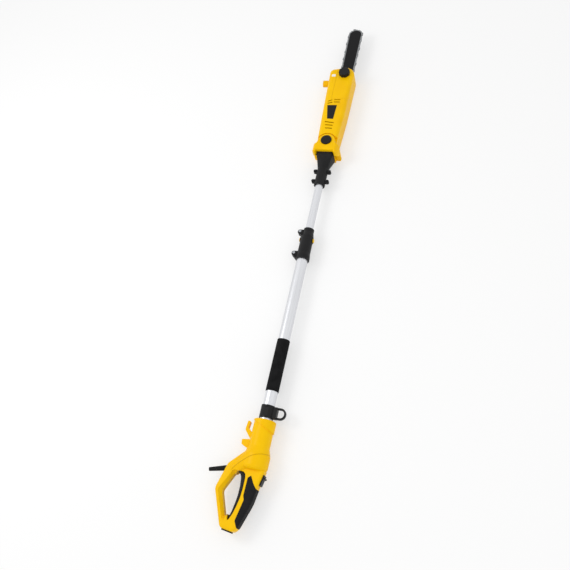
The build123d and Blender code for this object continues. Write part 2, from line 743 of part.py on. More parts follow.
with BuildPart() as lock_off_button:
    with BuildSketch(LOCK_PLANE.offset(-LOCK_HALF)):
        with BuildLine():
            FilletPolyline(
                (LOCK_START, -AIR),
                (LOCK_START + 1, -AIR - LOCK_HEIGHT),
                (LOCK_NUB_AT - 3, -AIR - LOCK_HEIGHT),
                (LOCK_NUB_AT - 1, -AIR - LOCK_HEIGHT - LOCK_NUB),
                (LOCK_NUB_AT + 2, -AIR - LOCK_HEIGHT - LOCK_NUB),
                (LOCK_NUB_AT + 4, -AIR - LOCK_HEIGHT),
                (LOCK_START + LOCK_LENGTH - 1, -AIR - LOCK_HEIGHT),
                (LOCK_START + LOCK_LENGTH, -AIR),
                radius=[0, 1.5, 1.5, 1, 1, 1.5, 1.5, 0],
                close=True,
            )
        make_face()
    extrude(amount=2 * LOCK_HALF)
    with BuildSketch(LOCK_PLANE.offset(-LOCK_STEM_HALF)):
        with Locations((lock_stem_start + LOCK_STEM / 2, LOCK_STEM_DEPTH / 2 - AIR)):
            Rectangle(LOCK_STEM, LOCK_STEM_DEPTH + 2 * AIR)
    extrude(amount=2 * LOCK_STEM_HALF)

with BuildPart() as lock_off_spring:
    stem_end = LOCK_PLANE.from_local_coords(Vector(lock_stem_start + LOCK_STEM, LOCK_STEM_DEPTH / 2, 0))
    lock_spring_length = lock_slot_end - lock_stem_start - LOCK_STEM
    add(spring(LOCK_STEM_DEPTH / 2 - AIR, lock_spring_length, Plane(stem_end, z_dir=edge_dir)))

with BuildPart() as cord_strain_relief:
    with Locations(BOOT_PLANE.offset(-BOOT_SEAT)):
        Cylinder(BOOT_ROOT_RADIUS, BOOT_SEAT, align=STAND)
    with Locations(BOOT_PLANE):
        Cone(BOOT_ROOT_RADIUS, BOOT_TIP_RADIUS, BOOT_LENGTH, align=STAND)
        Cylinder(CABLE_RADIUS, 3 * BOOT_LENGTH, mode=Mode.SUBTRACT)

bell_floor = BELL_END + HANDLE_WALL

with BuildPart() as cord_clamp:
    with Locations((CLAMP_X, bell_floor + CLAMP_SIZE[1] / 2, 0)):
        Box(*CLAMP_SIZE)

with BuildPart() as foot_pad:
    with BuildSketch(FOOT_PLANE.offset(-FOOT_HALF)):
        with Locations((0, (FOOT_DEPTH - FOOT_PROUD) / 2)):
            Rectangle(FOOT_LENGTH, FOOT_DEPTH + FOOT_PROUD)
    extrude(amount=2 * FOOT_HALF)

# Pole

with BuildPart() as lower_tube:
    add(tube(LOWER_RADIUS, LOWER_BORE, SOCKET_END, LOWER_END))

with BuildPart() as upper_tube:
    add(tube(UPPER_RADIUS, UPPER_RADIUS - UPPER_WALL, UPPER_START, UPPER_END))

with BuildPart() as guide_bush:
    add(tube(LOWER_BORE - SEAT, UPPER_RADIUS + RUN, LOWER_END - BUSH_LENGTH, LOWER_END))

with BuildPart() as tail_bush:
    add(tube(LOWER_BORE - RUN, UPPER_RADIUS + SEAT, UPPER_START, UPPER_START + BUSH_LENGTH))

with BuildPart() as coiled_lead:
    add(tube(LEAD_COIL_RADIUS, LEAD_COIL_RADIUS - 2 * LEAD_RADIUS, SOCKET_END, UPPER_START - LEAD_GAP))

with BuildPart() as foam_grip:
    add(tube(FOAM_RADIUS, LOWER_RADIUS + SEAT, FOAM_START, FOAM_START + FOAM_LENGTH))

strap_mid = STRAP_START + STRAP_LENGTH / 2
strap_screw_x = (STRAP_RADIUS + STRAP_BOSS_REACH) / 2
strap_screw_tip = STRAP_BOSS_HALF - SCREW_RADIUS

with BuildPart() as strap_collar:
    add(tube(STRAP_RADIUS, 0, STRAP_START, STRAP_START + STRAP_LENGTH))
    add(
        block(
            (0, STRAP_START + 2, -STRAP_BOSS_HALF),
            (STRAP_BOSS_REACH, STRAP_START + STRAP_LENGTH - 2, STRAP_BOSS_HALF),
        )
    )
    eye_half = STRAP_LENGTH / 2 - EYE_MARGIN
    add(
        plate(
            [
                (0, -eye_half, 0),
                (EYE_REACH, -eye_half, EYE_ROUND),
                (EYE_REACH, eye_half, EYE_ROUND),
                (0, eye_half, 0),
            ],
            -EYE_HALF,
            EYE_HALF,
            (0, strap_mid),
        )
    )
    add(
        plate(
            [
                (STRAP_BOSS_REACH, EYE_BAR - eye_half, 1),
                (EYE_REACH - EYE_BAR, EYE_BAR - eye_half, EYE_ROUND - EYE_BAR),
                (EYE_REACH - EYE_BAR, eye_half - EYE_BAR, EYE_ROUND - EYE_BAR),
                (STRAP_BOSS_REACH, eye_half - EYE_BAR, 1),
            ],
            -2 * EYE_HALF,
            2 * EYE_HALF,
            (0, strap_mid),
        ),
        mode=Mode.SUBTRACT,
    )
    add(tube(LOWER_RADIUS + SEAT, 0, 0, STRAP_START + 2 * STRAP_LENGTH), mode=Mode.SUBTRACT)
    with Locations((0, strap_mid, STRAP_RADIUS)):
        Box(*STRAP_PANEL, mode=Mode.SUBTRACT)
    with Locations((0, strap_mid + STRAP_PANEL[1] / 2, STRAP_RADIUS)):
        Box(STRAP_PANEL[0], PANEL_GROOVE, 2 * PANEL_GROOVE_DEPTH, mode=Mode.SUBTRACT)
    add(screw_hole(strap_screw_x, strap_mid, -STRAP_BOSS_HALF, strap_screw_tip), mode=Mode.SUBTRACT)

# Telescope sleeve with its clamp bolts and lock buttons

CATCH_Y = LOWER_END + CATCH_OFFSET

with BuildPart() as telescope_sleeve:
    add(
        turned(
            [
                (0, SLEEVE_START),
                (SLEEVE_FLANGE_RADIUS, SLEEVE_START),
                (SLEEVE_FLANGE_RADIUS, SLEEVE_START + SLEEVE_FLANGE),
                (SLEEVE_RADIUS, SLEEVE_START + 2 * SLEEVE_FLANGE),
                (SLEEVE_RADIUS, CATCH_Y + CATCH_BOSS_RADIUS + SLEEVE_SHOULDER),
                (SLEEVE_TIP_RADIUS, SLEEVE_END - SLEEVE_FLANGE),
                (SLEEVE_TIP_RADIUS, SLEEVE_END),
                (0, SLEEVE_END),
            ]
        )
    )
    for x, y, web in SLEEVE_LUGS:
        lug = [
            (0, -web, 0),
            (-SLEEVE_RADIUS, -web, 0),
            (x - LUG_RADIUS, -LUG_FOOT, LUG_FOOT),
            (x - LUG_RADIUS, LUG_RADIUS, LUG_RADIUS - SEAM),
            (0, LUG_RADIUS, 0),
        ]
        add(plate(lug, -LUG_HALF, LUG_HALF, (0, SLEEVE_START + y)))
    with Locations((0, CATCH_Y, 0)):
        Cylinder(CATCH_BOSS_RADIUS, 2 * CATCH_BOSS_REACH, rotation=(0, 90, 0))
    add(tube(LOWER_RADIUS + SEAT, 0, SLEEVE_START - 1, LOWER_END), mode=Mode.SUBTRACT)
    add(tube(UPPER_RADIUS + AIR, 0, SLEEVE_START, SLEEVE_END + 1), mode=Mode.SUBTRACT)
    for side in (-1, 1):
        with Locations(Plane((side * CATCH_FLOOR, CATCH_Y, 0), z_dir=(side, 0, 0))):
            Cylinder(CATCH_RADIUS + AIR, CATCH_REACH, align=STAND, mode=Mode.SUBTRACT)
            Cylinder(CATCH_STEM_RADIUS + AIR, CATCH_FLOOR, mode=Mode.SUBTRACT)
    for start in (SLEEVE_START - 1, SLEEVE_END - LUG_SLIT):
        add(
            block(
                (-3 * SLEEVE_RADIUS, start, -SLEEVE_SLIT / 2),
                (-UPPER_RADIUS, start + LUG_SLIT + 1, SLEEVE_SLIT / 2),
            ),
            mode=Mode.SUBTRACT,
        )
    for x, y, web in SLEEVE_LUGS:
        add(disc(BOLT_RADIUS + SEAT, -3 * LUG_HALF, 3 * LUG_HALF, x, SLEEVE_START + y), mode=Mode.SUBTRACT)

with BuildPart() as clamp_bolts:
    add(screw(strap_screw_x, strap_mid, -STRAP_BOSS_HALF, strap_screw_tip))
    for x, y, web in SLEEVE_LUGS:
        add(disc(BOLT_HEAD_RADIUS, LUG_HALF, LUG_HALF + BOLT_HEAD_HEIGHT, x, SLEEVE_START + y))
        add(disc(BOLT_RADIUS, -LUG_HALF, LUG_HALF, x, SLEEVE_START + y))
        with BuildSketch(Plane((x, SLEEVE_START + y, -LUG_HALF))):
            RegularPolygon(BOLT_HEAD_RADIUS, 6)
        extrude(amount=-BOLT_HEAD_HEIGHT)


def catch_button(side):
    """One lock button of the sleeve, on the side that the sign gives."""
    with BuildPart() as button:
        with Locations(Plane((side * (CATCH_REACH - CATCH_HEAD), CATCH_Y, 0), z_dir=(side, 0, 0))):
            Cylinder(CATCH_RADIUS, CATCH_HEAD, align=STAND)
        fillet(button.edges().filter_by(GeomType.CIRCLE).sort_by(Axis.X)[-1 if side > 0 else 0], CATCH_ROUND)
        with Locations(Plane((side * (CATCH_REACH - CATCH_HEAD), CATCH_Y, 0), z_dir=(-side, 0, 0))):
            Cylinder(CATCH_STEM_RADIUS, CATCH_STEM, align=STAND)
    return button


lock_button_left = catch_button(-1)
lock_button_right = catch_button(1)

# Neck

with BuildPart() as neck:
    add(tube(NECK_RADIUS, 0, NECK_START, UPPER_END))
    with BuildSketch(Plane((0, UPPER_END, 0), x_dir=(1, 0, 0), z_dir=(0, 1, 0))):
        Circle(NECK_RADIUS)
    with BuildSketch(Plane((0, PIVOT_Y - NECK_FULL, 0), x_dir=(1, 0, 0), z_dir=(0, 1, 0))) as neck_section:
        RectangleRounded(2 * NECK_TOP_HALF, 2 * (CHEEK_INSIDE - SEAT), NECK_CORNER)
    loft()
    extrude(neck_section.sketch, amount=NECK_FULL - NECK_CUT)
    for y in NECK_LUGS:
        reach = NECK_SCREW_REACH + NECK_LUG_RADIUS
        corner = NECK_LUG_RADIUS - SEAM
        lugs = [
            (-reach, -NECK_LUG_RADIUS, corner),
            (reach, -NECK_LUG_RADIUS, corner),
            (reach, NECK_LUG_RADIUS, corner),
            (-reach, NECK_LUG_RADIUS, corner),
        ]
        add(plate(lugs, -NECK_LUG_HALF, NECK_LUG_HALF, (0, NECK_START + y)))
    add(tube(UPPER_RADIUS + SEAT, 0, NECK_START - 1, UPPER_END), mode=Mode.SUBTRACT)
    add(tube(LEAD_HOLE_RADIUS, 0, NECK_START, PIVOT_Y), mode=Mode.SUBTRACT)
    add(disc(KNUCKLE_RADIUS + CRADLE_GAP, -REST_HALF, REST_HALF, 0, PIVOT_Y), mode=Mode.SUBTRACT)
    for y in NECK_LUGS:
        for side in (-1, 1):
            place = (side * NECK_SCREW_REACH, NECK_START + y)
            add(screw_hole(*place, NECK_LUG_HALF, -NECK_LUG_HALF), mode=Mode.SUBTRACT)

with BuildPart() as neck_front:
    add(neck.part)
    split(bisect_by=Plane.XY, keep=Keep.TOP)

with BuildPart() as neck_rear:
    add(neck.part)
    split(bisect_by=Plane.XY, keep=Keep.BOTTOM)

with BuildPart() as neck_screws:
    for y in NECK_LUGS:
        for side in (-1, 1):
            add(screw(side * NECK_SCREW_REACH, NECK_START + y, NECK_LUG_HALF, -NECK_LUG_HALF))
    for side in (-1, 1):
        add(screw(side * YOKE_SCREW[0], PIVOT_Y + YOKE_SCREW[1], -CHEEK_INSIDE, CHEEK_INSIDE))

# Yoke

pocket_floor = CHEEK_INSIDE + HUB_FLOOR
nut_seat = -CHEEK_INSIDE - HUB_FLOOR
yoke_start = (YOKE_TOP_RADIUS * cos(radians(YOKE_SHOULDER)), YOKE_TOP_RADIUS * sin(radians(YOKE_SHOULDER)))

with BuildPart() as yoke:
    with BuildSketch(Plane((0, PIVOT_Y, -REST_HALF))):
        with BuildLine():
            inner_x = NECK_TOP_HALF + YOKE_FIT
            right = YOKE_SIDE + [(inner_x, *WING_FOOT), (inner_x, *CHEEK_FOOT)]
            left = [(-x, y, r) for x, y, r in reversed(right)]
            corners = right + left
            FilletPolyline(
                yoke_start,
                *[c[:2] for c in corners],
                (-yoke_start[0], yoke_start[1]),
                radius=[c[2] for c in corners],
            )
            ThreePointArc((-yoke_start[0], yoke_start[1]), (0, YOKE_TOP_RADIUS), yoke_start)
        make_face()
    extrude(amount=REST_HALF + YOKE_FRONT)
    fillet(yoke.faces().filter_by(Axis.Z).edges(), YOKE_ROUND)
    # Room between the cheeks for the head's knuckle and for the neck
    add(disc(WING_CLEAR, -CHEEK_INSIDE, CHEEK_INSIDE, 0, PIVOT_Y), mode=Mode.SUBTRACT)
    add(
        block(
            (-NECK_TOP_HALF - SEAT, PIVOT_Y - 2 * KNUCKLE_RADIUS, -CHEEK_INSIDE),
            (NECK_TOP_HALF + SEAT, PIVOT_Y, CHEEK_INSIDE),
        ),
        mode=Mode.SUBTRACT,
    )
    # The wings end higher on the back, and slant up to the seam on the front
    for side in (-1, 1):
        wing_near, wing_far = sorted((side * inner_x, side * 2 * KNUCKLE_RADIUS))
        rear_low = (wing_near, PIVOT_Y - 2 * KNUCKLE_RADIUS, -2 * REST_HALF)
        add(block(rear_low, (wing_far, PIVOT_Y + REAR_WING_FOOT, 0)), mode=Mode.SUBTRACT)
    with BuildSketch(Plane.YZ.offset(-2 * KNUCKLE_RADIUS)):
        with BuildLine():
            Polyline(*[(PIVOT_Y + y, z) for y, z in WING_SLANT], close=True)
        make_face()
    extrude(amount=4 * KNUCKLE_RADIUS, mode=Mode.SUBTRACT)
    # Pivot hole, button pocket and nut pocket
    add(disc(PIVOT_RADIUS + SEAT, -REST_HALF, REST_HALF, 0, PIVOT_Y), mode=Mode.SUBTRACT)
    add(disc(BUTTON_RADIUS + AIR, pocket_floor, 2 * REST_HALF, 0, PIVOT_Y), mode=Mode.SUBTRACT)
    with BuildSketch(Plane((0, PIVOT_Y, nut_seat))):
        RegularPolygon(PIVOT_NUT_RADIUS + SEAT, 6)
    extrude(amount=-REST_HALF, mode=Mode.SUBTRACT)
    for side in (-1, 1):
        place = (side * YOKE_SCREW[0], PIVOT_Y + YOKE_SCREW[1])
        add(screw_hole(*place, -CHEEK_INSIDE, CHEEK_INSIDE), mode=Mode.SUBTRACT)

with BuildPart() as yoke_front:
    add(yoke.part)
    split(bisect_by=Plane.XY, keep=Keep.TOP)

with BuildPart() as yoke_rear:
    add(yoke.part)
    split(bisect_by=Plane.XY, keep=Keep.BOTTOM)

with BuildPart() as pivot_bolt:
    add(disc(PIVOT_RADIUS, nut_seat - PIVOT_HEAD_HEIGHT, pocket_floor, 0, PIVOT_Y))
    add(disc(PIVOT_HEAD_RADIUS, pocket_floor, pocket_floor + PIVOT_HEAD_HEIGHT, 0, PIVOT_Y))
    with BuildSketch(Plane((0, PIVOT_Y, nut_seat))):
        RegularPolygon(PIVOT_NUT_RADIUS, 6)
    extrude(amount=-PIVOT_HEAD_HEIGHT + AIR)

button_low = BUTTON_FRONT - BUTTON_HEIGHT
spring_top = button_low + BUTTON_HEIGHT / 2

with BuildPart() as tilt_button:
    add(disc(BUTTON_RADIUS, button_low, BUTTON_FRONT, 0, PIVOT_Y))
    fillet(tilt_button.edges().sort_by(Axis.Z)[-1], BUTTON_ROUND)
    add(disc(PIVOT_HEAD_RADIUS + AIR, button_low, button_low + BUTTON_TRAVEL, 0, PIVOT_Y), mode=Mode.SUBTRACT)
    groove_inside = TILT_SPRING_RADIUS - 2 * SPRING_WIRE - AIR
    groove = ring(TILT_SPRING_RADIUS + AIR, groove_inside, button_low, spring_top, 0, PIVOT_Y)
    add(groove, mode=Mode.SUBTRACT)

with BuildPart() as tilt_spring:
    add(spring(TILT_SPRING_RADIUS, spring_top - pocket_floor, Plane((0, PIVOT_Y, pocket_floor))))


# Head housing


def head_block(inset, low, high, rounding=0.0):
    """The head's outline drawn in by some amount, between two heights, with its edges rounded."""
    corners = [HEAD_RIGHT, HEAD_TOP_RIGHT, HEAD_TOP_LEFT, HEAD_LEFT]
    with BuildPart() as body:
        with BuildSketch(Plane((0, PIVOT_Y, low))):
            with BuildLine():
                FilletPolyline(
                    (KNUCKLE_RADIUS, 0),
                    *[c[:2] for c in corners],
                    (-KNUCKLE_RADIUS, 0),
                    radius=[c[2] for c in corners],
                )
                ThreePointArc((-KNUCKLE_RADIUS, 0), (0, -KNUCKLE_RADIUS), (KNUCKLE_RADIUS, 0))
            make_face()
            if inset:
                offset(amount=-inset)
        extrude(amount=high - low)
        if rounding:
            fillet(body.faces().filter_by(Axis.Z).edges(), rounding)
    return body.part


def head_slab(start, end, low=-2 * REST_HALF, high=2 * REST_HALF, left=-2 * REST_HALF):
    """A slab across the head between two distances from the pivot."""
    return block((left, PIVOT_Y + start, low), (2 * REST_HALF, PIVOT_Y + end, high))


def along_motor(radius, start, end, hole=0.0):
    """A round piece on the motor's axis, between two distances from the pivot."""
    return tube(radius, hole, PIVOT_Y + start, PIVOT_Y + end, BAR_X, MOTOR_Z)


HEAD_END = HEAD_TOP_RIGHT[1]
ROOM_START = LOWER_BEARING + MOTOR_BEARING_LENGTH
wall_left = COVER_LEFT - HEAD_WALL

with BuildPart() as head_room:
    add(head_block(HEAD_WALL, BACK_INSIDE, HEAD_INSIDE, HEAD_ROUND - HEAD_WALL))
    add(head_slab(-2 * KNUCKLE_RADIUS, ROOM_START), mode=Mode.SUBTRACT)
    # Ribs that cradle the stator, and the saddle for the upper bearing and the plate
    for rib in STATOR_RIBS:
        add(head_slab(rib, rib + RIB), mode=Mode.SUBTRACT)
    saddle_end = UPPER_BEARING + MOTOR_BEARING_LENGTH
    add(head_slab(UPPER_BEARING, saddle_end, high=PLATE_LOW, left=wall_left), mode=Mode.SUBTRACT)
    # Walls of the front shell along the sprocket cover
    add(head_slab(COVER_START - HEAD_WALL, COVER_START, low=0), mode=Mode.SUBTRACT)
    wall_top = (COVER_LEFT, PIVOT_Y + HEAD_END, 2 * REST_HALF)
    add(block((wall_left, PIVOT_Y + COVER_START, 0), wall_top), mode=Mode.SUBTRACT)
    # Screw bosses, the plate's pillars and the boss of the output bearing
    for x, y in HEAD_SCREWS:
        add(disc(BOSS_RADIUS, -2 * REST_HALF, 2 * REST_HALF, x, PIVOT_Y + y), mode=Mode.SUBTRACT)
    for x, y in PLATE_PILLARS:
        add(disc(BOSS_RADIUS, -2 * REST_HALF, PLATE_LOW, x, PIVOT_Y + y), mode=Mode.SUBTRACT)
    bearing_top = BACK_INSIDE + BEARING_LENGTH
    add(disc(BEARING_RADIUS + HEAD_WALL, -2 * REST_HALF, bearing_top, BAR_X, SPROCKET_Y), mode=Mode.SUBTRACT)
    # Bores for the stator and the bearings
    add(along_motor(STATOR_RADIUS + SEAT, ROOM_START, STATOR_START + STATOR_LENGTH))
    add(along_motor(MOTOR_BEARING_RADIUS + SEAT, LOWER_BEARING, ROOM_START))
    add(along_motor(MOTOR_BEARING_RADIUS + SEAT, UPPER_BEARING, saddle_end))
    add(disc(BEARING_RADIUS + SEAT, BACK_INSIDE, bearing_top, BAR_X, SPROCKET_Y))

with BuildPart() as head:
    add(head_block(0, -REST_HALF, HEAD_FRONT, HEAD_ROUND))
    # Knuckle, thinner than the rest so that it fits between the yoke's cheeks
    for low, high in ((KNUCKLE_HALF, 2 * REST_HALF), (-2 * REST_HALF, -KNUCKLE_HALF)):
        add(disc(YOKE_TOP_RADIUS + KNUCKLE_CLEAR, low, high, 0, PIVOT_Y), mode=Mode.SUBTRACT)
        add(head_slab(-2 * KNUCKLE_RADIUS, KNUCKLE_STEP, low, high), mode=Mode.SUBTRACT)
    add(head_room.part, mode=Mode.SUBTRACT)
    add(disc(PIVOT_RADIUS + RUN, -REST_HALF, REST_HALF, 0, PIVOT_Y), mode=Mode.SUBTRACT)
    add(tube(LEAD_WAY[1], 0, PIVOT_Y - KNUCKLE_RADIUS, PIVOT_Y + ROOM_START, LEAD_WAY[0]), mode=Mode.SUBTRACT)
    # Filler hole and the tensioner's hole
    with Locations((-FILLER_REACH, PIVOT_Y + FILLER_ABOVE, 0)):
        Cylinder(FILLER_RADIUS + SEAT, FILLER_REACH, rotation=(0, 90, 0), mode=Mode.SUBTRACT)
    rod_hole = tube(TENSIONER_ROD + SEAT, 0, STUD_Y, STUD_Y + HEAD_END, TENSIONER_X, TENSIONER_Z)
    add(rod_hole, mode=Mode.SUBTRACT)
    for x, y in HEAD_SCREWS:
        add(screw_hole(x, PIVOT_Y + y, HEAD_SCREW_SEAT, SCREW_GRIP), mode=Mode.SUBTRACT)

with BuildPart() as cover_region:
    region_low = (COVER_LEFT, PIVOT_Y + COVER_START, -2 * REST_HALF)
    add(block(region_low, (2 * REST_HALF, PIVOT_Y + 2 * HEAD_END, 2 * REST_HALF)))

# The whole knuckle belongs to the back shell
with BuildPart() as head_shell_front:
    add(head.part)
    split(bisect_by=Plane.XY, keep=Keep.TOP)
    add(cover_region.part, mode=Mode.SUBTRACT)
    add(head_slab(-2 * KNUCKLE_RADIUS, KNUCKLE_STEP), mode=Mode.SUBTRACT)
    for (left, start), (right, end) in LOWER_VENTS + UPPER_VENTS:
        slope = degrees(atan2(end - start, right - left))
        with Locations(Location(((left + right) / 2, PIVOT_Y + (start + end) / 2, HEAD_FRONT), (0, 0, slope))):
            Box(hypot(right - left, end - start), VENT_HEIGHT, 3 * HEAD_WALL, mode=Mode.SUBTRACT)
    add(plate(LABEL, HEAD_FRONT - LABEL_DEPTH, 2 * HEAD_FRONT, (0, PIVOT_Y), SEAT), mode=Mode.SUBTRACT)
    with BuildSketch(Plane((WINDOW_CENTRE[0], PIVOT_Y + WINDOW_CENTRE[1], HEAD_INSIDE))):
        RectangleRounded(WINDOW_SIZE[0] + 2 * SEAT, WINDOW_SIZE[1] + 2 * SEAT, WINDOW_ROUND)
    extrude(amount=2 * HEAD_WALL, mode=Mode.SUBTRACT)

with BuildPart() as back_region:
    add(cover_region.part)
    split(bisect_by=Plane.XY.offset(RIM), keep=Keep.BOTTOM)
    add(head_slab(-2 * KNUCKLE_RADIUS, 2 * HEAD_END, high=0))
    add(head_slab(-2 * KNUCKLE_RADIUS, KNUCKLE_STEP))

with BuildPart() as head_shell_rear:
    add(head.part)
    add(back_region.part, mode=Mode.INTERSECT)

with BuildPart() as head_screws:
    for x, y in HEAD_SCREWS:
        add(screw(x, PIVOT_Y + y, HEAD_SCREW_SEAT, SCREW_GRIP))

with BuildPart() as sprocket_cover:
    add(head.part)
    cover_low = (COVER_LEFT + SEAM, PIVOT_Y + COVER_START + SEAM, RIM + SEAM)
    add(block(cover_low, (2 * REST_HALF, PIVOT_Y + 2 * HEAD_END, 2 * REST_HALF)), mode=Mode.INTERSECT)
    slot_right = BAR_X + SPROCKET_RADIUS + CUTTER_TOP + CHAIN_GAP
    slot_top = BAR_Z + CUTTER_WIDE + CHAIN_GAP
    add(block((COVER_LEFT, STUD_Y, RIM), (slot_right, PIVOT_Y + 2 * HEAD_END, slot_top)), mode=Mode.SUBTRACT)
    add(disc(STUD_RADIUS + SEAT, RIM, 2 * HEAD_FRONT, BAR_X, STUD_Y), mode=Mode.SUBTRACT)

with BuildPart() as label_plate:
    add(plate(LABEL, HEAD_FRONT - LABEL_DEPTH, HEAD_FRONT + LABEL_PROUD, (0, PIVOT_Y)))

# Bar, its fixing and the chain

# The bar's length follows from the number of links: distance from sprocket to nose
chain_length = DRIVE_LINKS * 2 * CHAIN_PITCH
bar_reach = chain_length / 2
for step in range(60):
    lean = asin((NOSE_RADIUS - SPROCKET_RADIUS) / bar_reach)
    round_ends = NOSE_RADIUS * (pi + 2 * lean) + SPROCKET_RADIUS * (pi - 2 * lean)
    bar_reach = (chain_length - round_ends) / (2 * cos(lean))
NOSE_Y = SPROCKET_Y + bar_reach
side_run = bar_reach * cos(lean)
nose_run = NOSE_RADIUS * (pi + 2 * lean)


def on_chain(run):
    """Place on the rivet line after some run: point and direction in degrees."""
    run = run % chain_length
    if run < side_run:
        x = BAR_X + SPROCKET_RADIUS * cos(lean) + run * sin(lean)
        y = SPROCKET_Y - SPROCKET_RADIUS * sin(lean) + run * cos(lean)
        return x, y, degrees(-lean)
    run -= side_run
    if run < nose_run:
        angle = -lean + run / NOSE_RADIUS
        return BAR_X + NOSE_RADIUS * cos(angle), NOSE_Y + NOSE_RADIUS * sin(angle), degrees(angle)
    run -= nose_run
    if run < side_run:
        x = BAR_X - NOSE_RADIUS * cos(lean) + run * sin(lean)
        y = NOSE_Y - NOSE_RADIUS * sin(lean) - run * cos(lean)
        return x, y, degrees(pi + lean)
    angle = pi + lean + (run - side_run) / SPROCKET_RADIUS
    return BAR_X + SPROCKET_RADIUS * cos(angle), SPROCKET_Y + SPROCKET_RADIUS * sin(angle), degrees(angle)


def link_places(runs):
    """Where links sit round the chain, each with its x along the chain and y outwards."""
    places = [on_chain(run) for run in runs]
    return [Location((x, y, BAR_Z), (0, 0, angle - 90)) for x, y, angle in places]


def link_sheet(points, low, high):
    """One flat link at the origin, between two heights from the chain's middle plane."""
    with BuildPart() as link:
        with BuildSketch(Plane.XY.offset(low)):
            with BuildLine():
                Polyline(*points, close=True)
            make_face()
        extrude(amount=high - low)
    return link.part


def bar_sheet(inset, low, high):
    """The bar's outline drawn in by some amount, between two heights."""
    nose = NOSE_RADIUS - RAIL_DROP
    heel = SPROCKET_RADIUS - RAIL_DROP
    heel_x = heel * cos(lean) + BAR_TAIL * sin(lean)
    heel_y = SPROCKET_Y - heel * sin(lean) + BAR_TAIL * cos(lean)
    nose_x = nose * cos(lean)
    nose_y = NOSE_Y - nose * sin(lean)
    with BuildPart() as body:
        with BuildSketch(Plane((BAR_X, 0, low))):
            with BuildLine():
                Line((heel_x, heel_y), (nose_x, nose_y))
                ThreePointArc((nose_x, nose_y), (0, NOSE_Y + nose), (-nose_x, nose_y))
                Line((-nose_x, nose_y), (-heel_x, heel_y))
                Line((-heel_x, heel_y), (heel_x, heel_y))
            make_face()
            if inset:
                offset(amount=-inset)
        extrude(amount=high - low)
    return body.part


with BuildPart() as bar_groove:
    add(bar_sheet(0, BAR_Z - GROOVE_WIDTH / 2, BAR_Z + GROOVE_WIDTH / 2))
    add(bar_sheet(GROOVE_DEPTH, BAR_LOW, BAR_LOW + BAR_THICKNESS), mode=Mode.SUBTRACT)

with BuildPart() as guide_bar:
    add(bar_sheet(0, BAR_LOW, BAR_LOW + BAR_THICKNESS))
    add(bar_groove.part, mode=Mode.SUBTRACT)
    with BuildSketch(Plane((BAR_X, STUD_Y + BAR_SLOT / 2 - 2 * STUD_RADIUS, BAR_LOW))):
        SlotOverall(BAR_SLOT, 2 * (STUD_RADIUS + SEAT), rotation=90)
    extrude(amount=BAR_THICKNESS, mode=Mode.SUBTRACT)
    pin_place = (TENSIONER_X, PIVOT_Y + TENSIONER_ABOVE)
    add(disc(TENSIONER_PIN + SEAT, BAR_LOW, BAR_LOW + BAR_THICKNESS, *pin_place), mode=Mode.SUBTRACT)

with BuildPart() as bar_mount_plate:
    add(head_block(HEAD_WALL + SEAT, PLATE_LOW, RIM))
    plate_low = (COVER_LEFT + SEAT, PIVOT_Y + COVER_START + SEAT, 0)
    add(block(plate_low, (2 * REST_HALF, PIVOT_Y + HEAD_END, RIM)), mode=Mode.INTERSECT)
    pad_half = SPROCKET_RADIUS / 2
    pad_start = SPROCKET_Y + BAR_TAIL + AIR
    add(block((BAR_X - pad_half, pad_start, PLATE_LOW), (BAR_X + pad_half, STUD_Y + 2 * STUD_RADIUS, BAR_LOW)))
    add(disc(BEARING_RADIUS + SEAT, 0, BAR_LOW, BAR_X, SPROCKET_Y), mode=Mode.SUBTRACT)
    add(disc(STUD_RADIUS + SEAT, 0, BAR_LOW, BAR_X, STUD_Y), mode=Mode.SUBTRACT)
    with BuildSketch(Plane((*pin_place, 0))):
        SlotOverall(2 * TENSIONER_PLAY, 2 * (TENSIONER_PIN + AIR), rotation=90)
    extrude(amount=BAR_LOW, mode=Mode.SUBTRACT)

with BuildPart() as bar_stud:
    add(disc(STUD_RADIUS, PLATE_LOW, HEAD_FRONT + KNOB_HEIGHT - KNOB_ROOF, BAR_X, STUD_Y))
    add(disc(STUD_HEAD_RADIUS, PLATE_LOW - PLATE_THICKNESS, PLATE_LOW, BAR_X, STUD_Y))

with BuildPart() as bar_knob:
    with BuildSketch(Plane((BAR_X, STUD_Y, HEAD_FRONT + AIR))):
        Circle(KNOB_RADIUS)
        with PolarLocations(KNOB_RADIUS + KNOB_SCALLOP / 2, KNOB_LOBES):
            Circle(KNOB_SCALLOP, mode=Mode.SUBTRACT)
    extrude(amount=KNOB_HEIGHT)
    fillet(bar_knob.faces().sort_by(Axis.Z)[-1].edges(), KNOB_ROUND)
    stud_room = HEAD_FRONT + KNOB_HEIGHT - KNOB_ROOF + AIR
    add(disc(STUD_RADIUS + RUN, 0, stud_room, BAR_X, STUD_Y), mode=Mode.SUBTRACT)

with BuildPart() as chain_tensioner:
    rod_start = PIVOT_Y + TENSIONER_ABOVE - TENSIONER_BLOCK
    rod_end = PIVOT_Y + TENSIONER_ABOVE + TENSIONER_LENGTH
    add(tube(TENSIONER_ROD, 0, rod_start, rod_end, TENSIONER_X, TENSIONER_Z))
    add(
        block(
            (TENSIONER_X - TENSIONER_BLOCK, rod_start, TENSIONER_Z - TENSIONER_BLOCK),
            (TENSIONER_X + TENSIONER_BLOCK, rod_start + 2 * TENSIONER_BLOCK, PLATE_LOW - AIR),
        )
    )
    add(disc(TENSIONER_PIN, TENSIONER_Z, BAR_Z + BAR_THICKNESS / 2, *pin_place))

strap_low = LINK_THICKNESS / 2 + LINK_GAP
strap_high = strap_low + LINK_THICKNESS
link_runs = [2 * CHAIN_PITCH * link for link in range(DRIVE_LINKS)]
gap_runs = [run + CHAIN_PITCH for run in link_runs]
cutter_runs = {1: gap_runs[0::4], -1: gap_runs[2::4]}

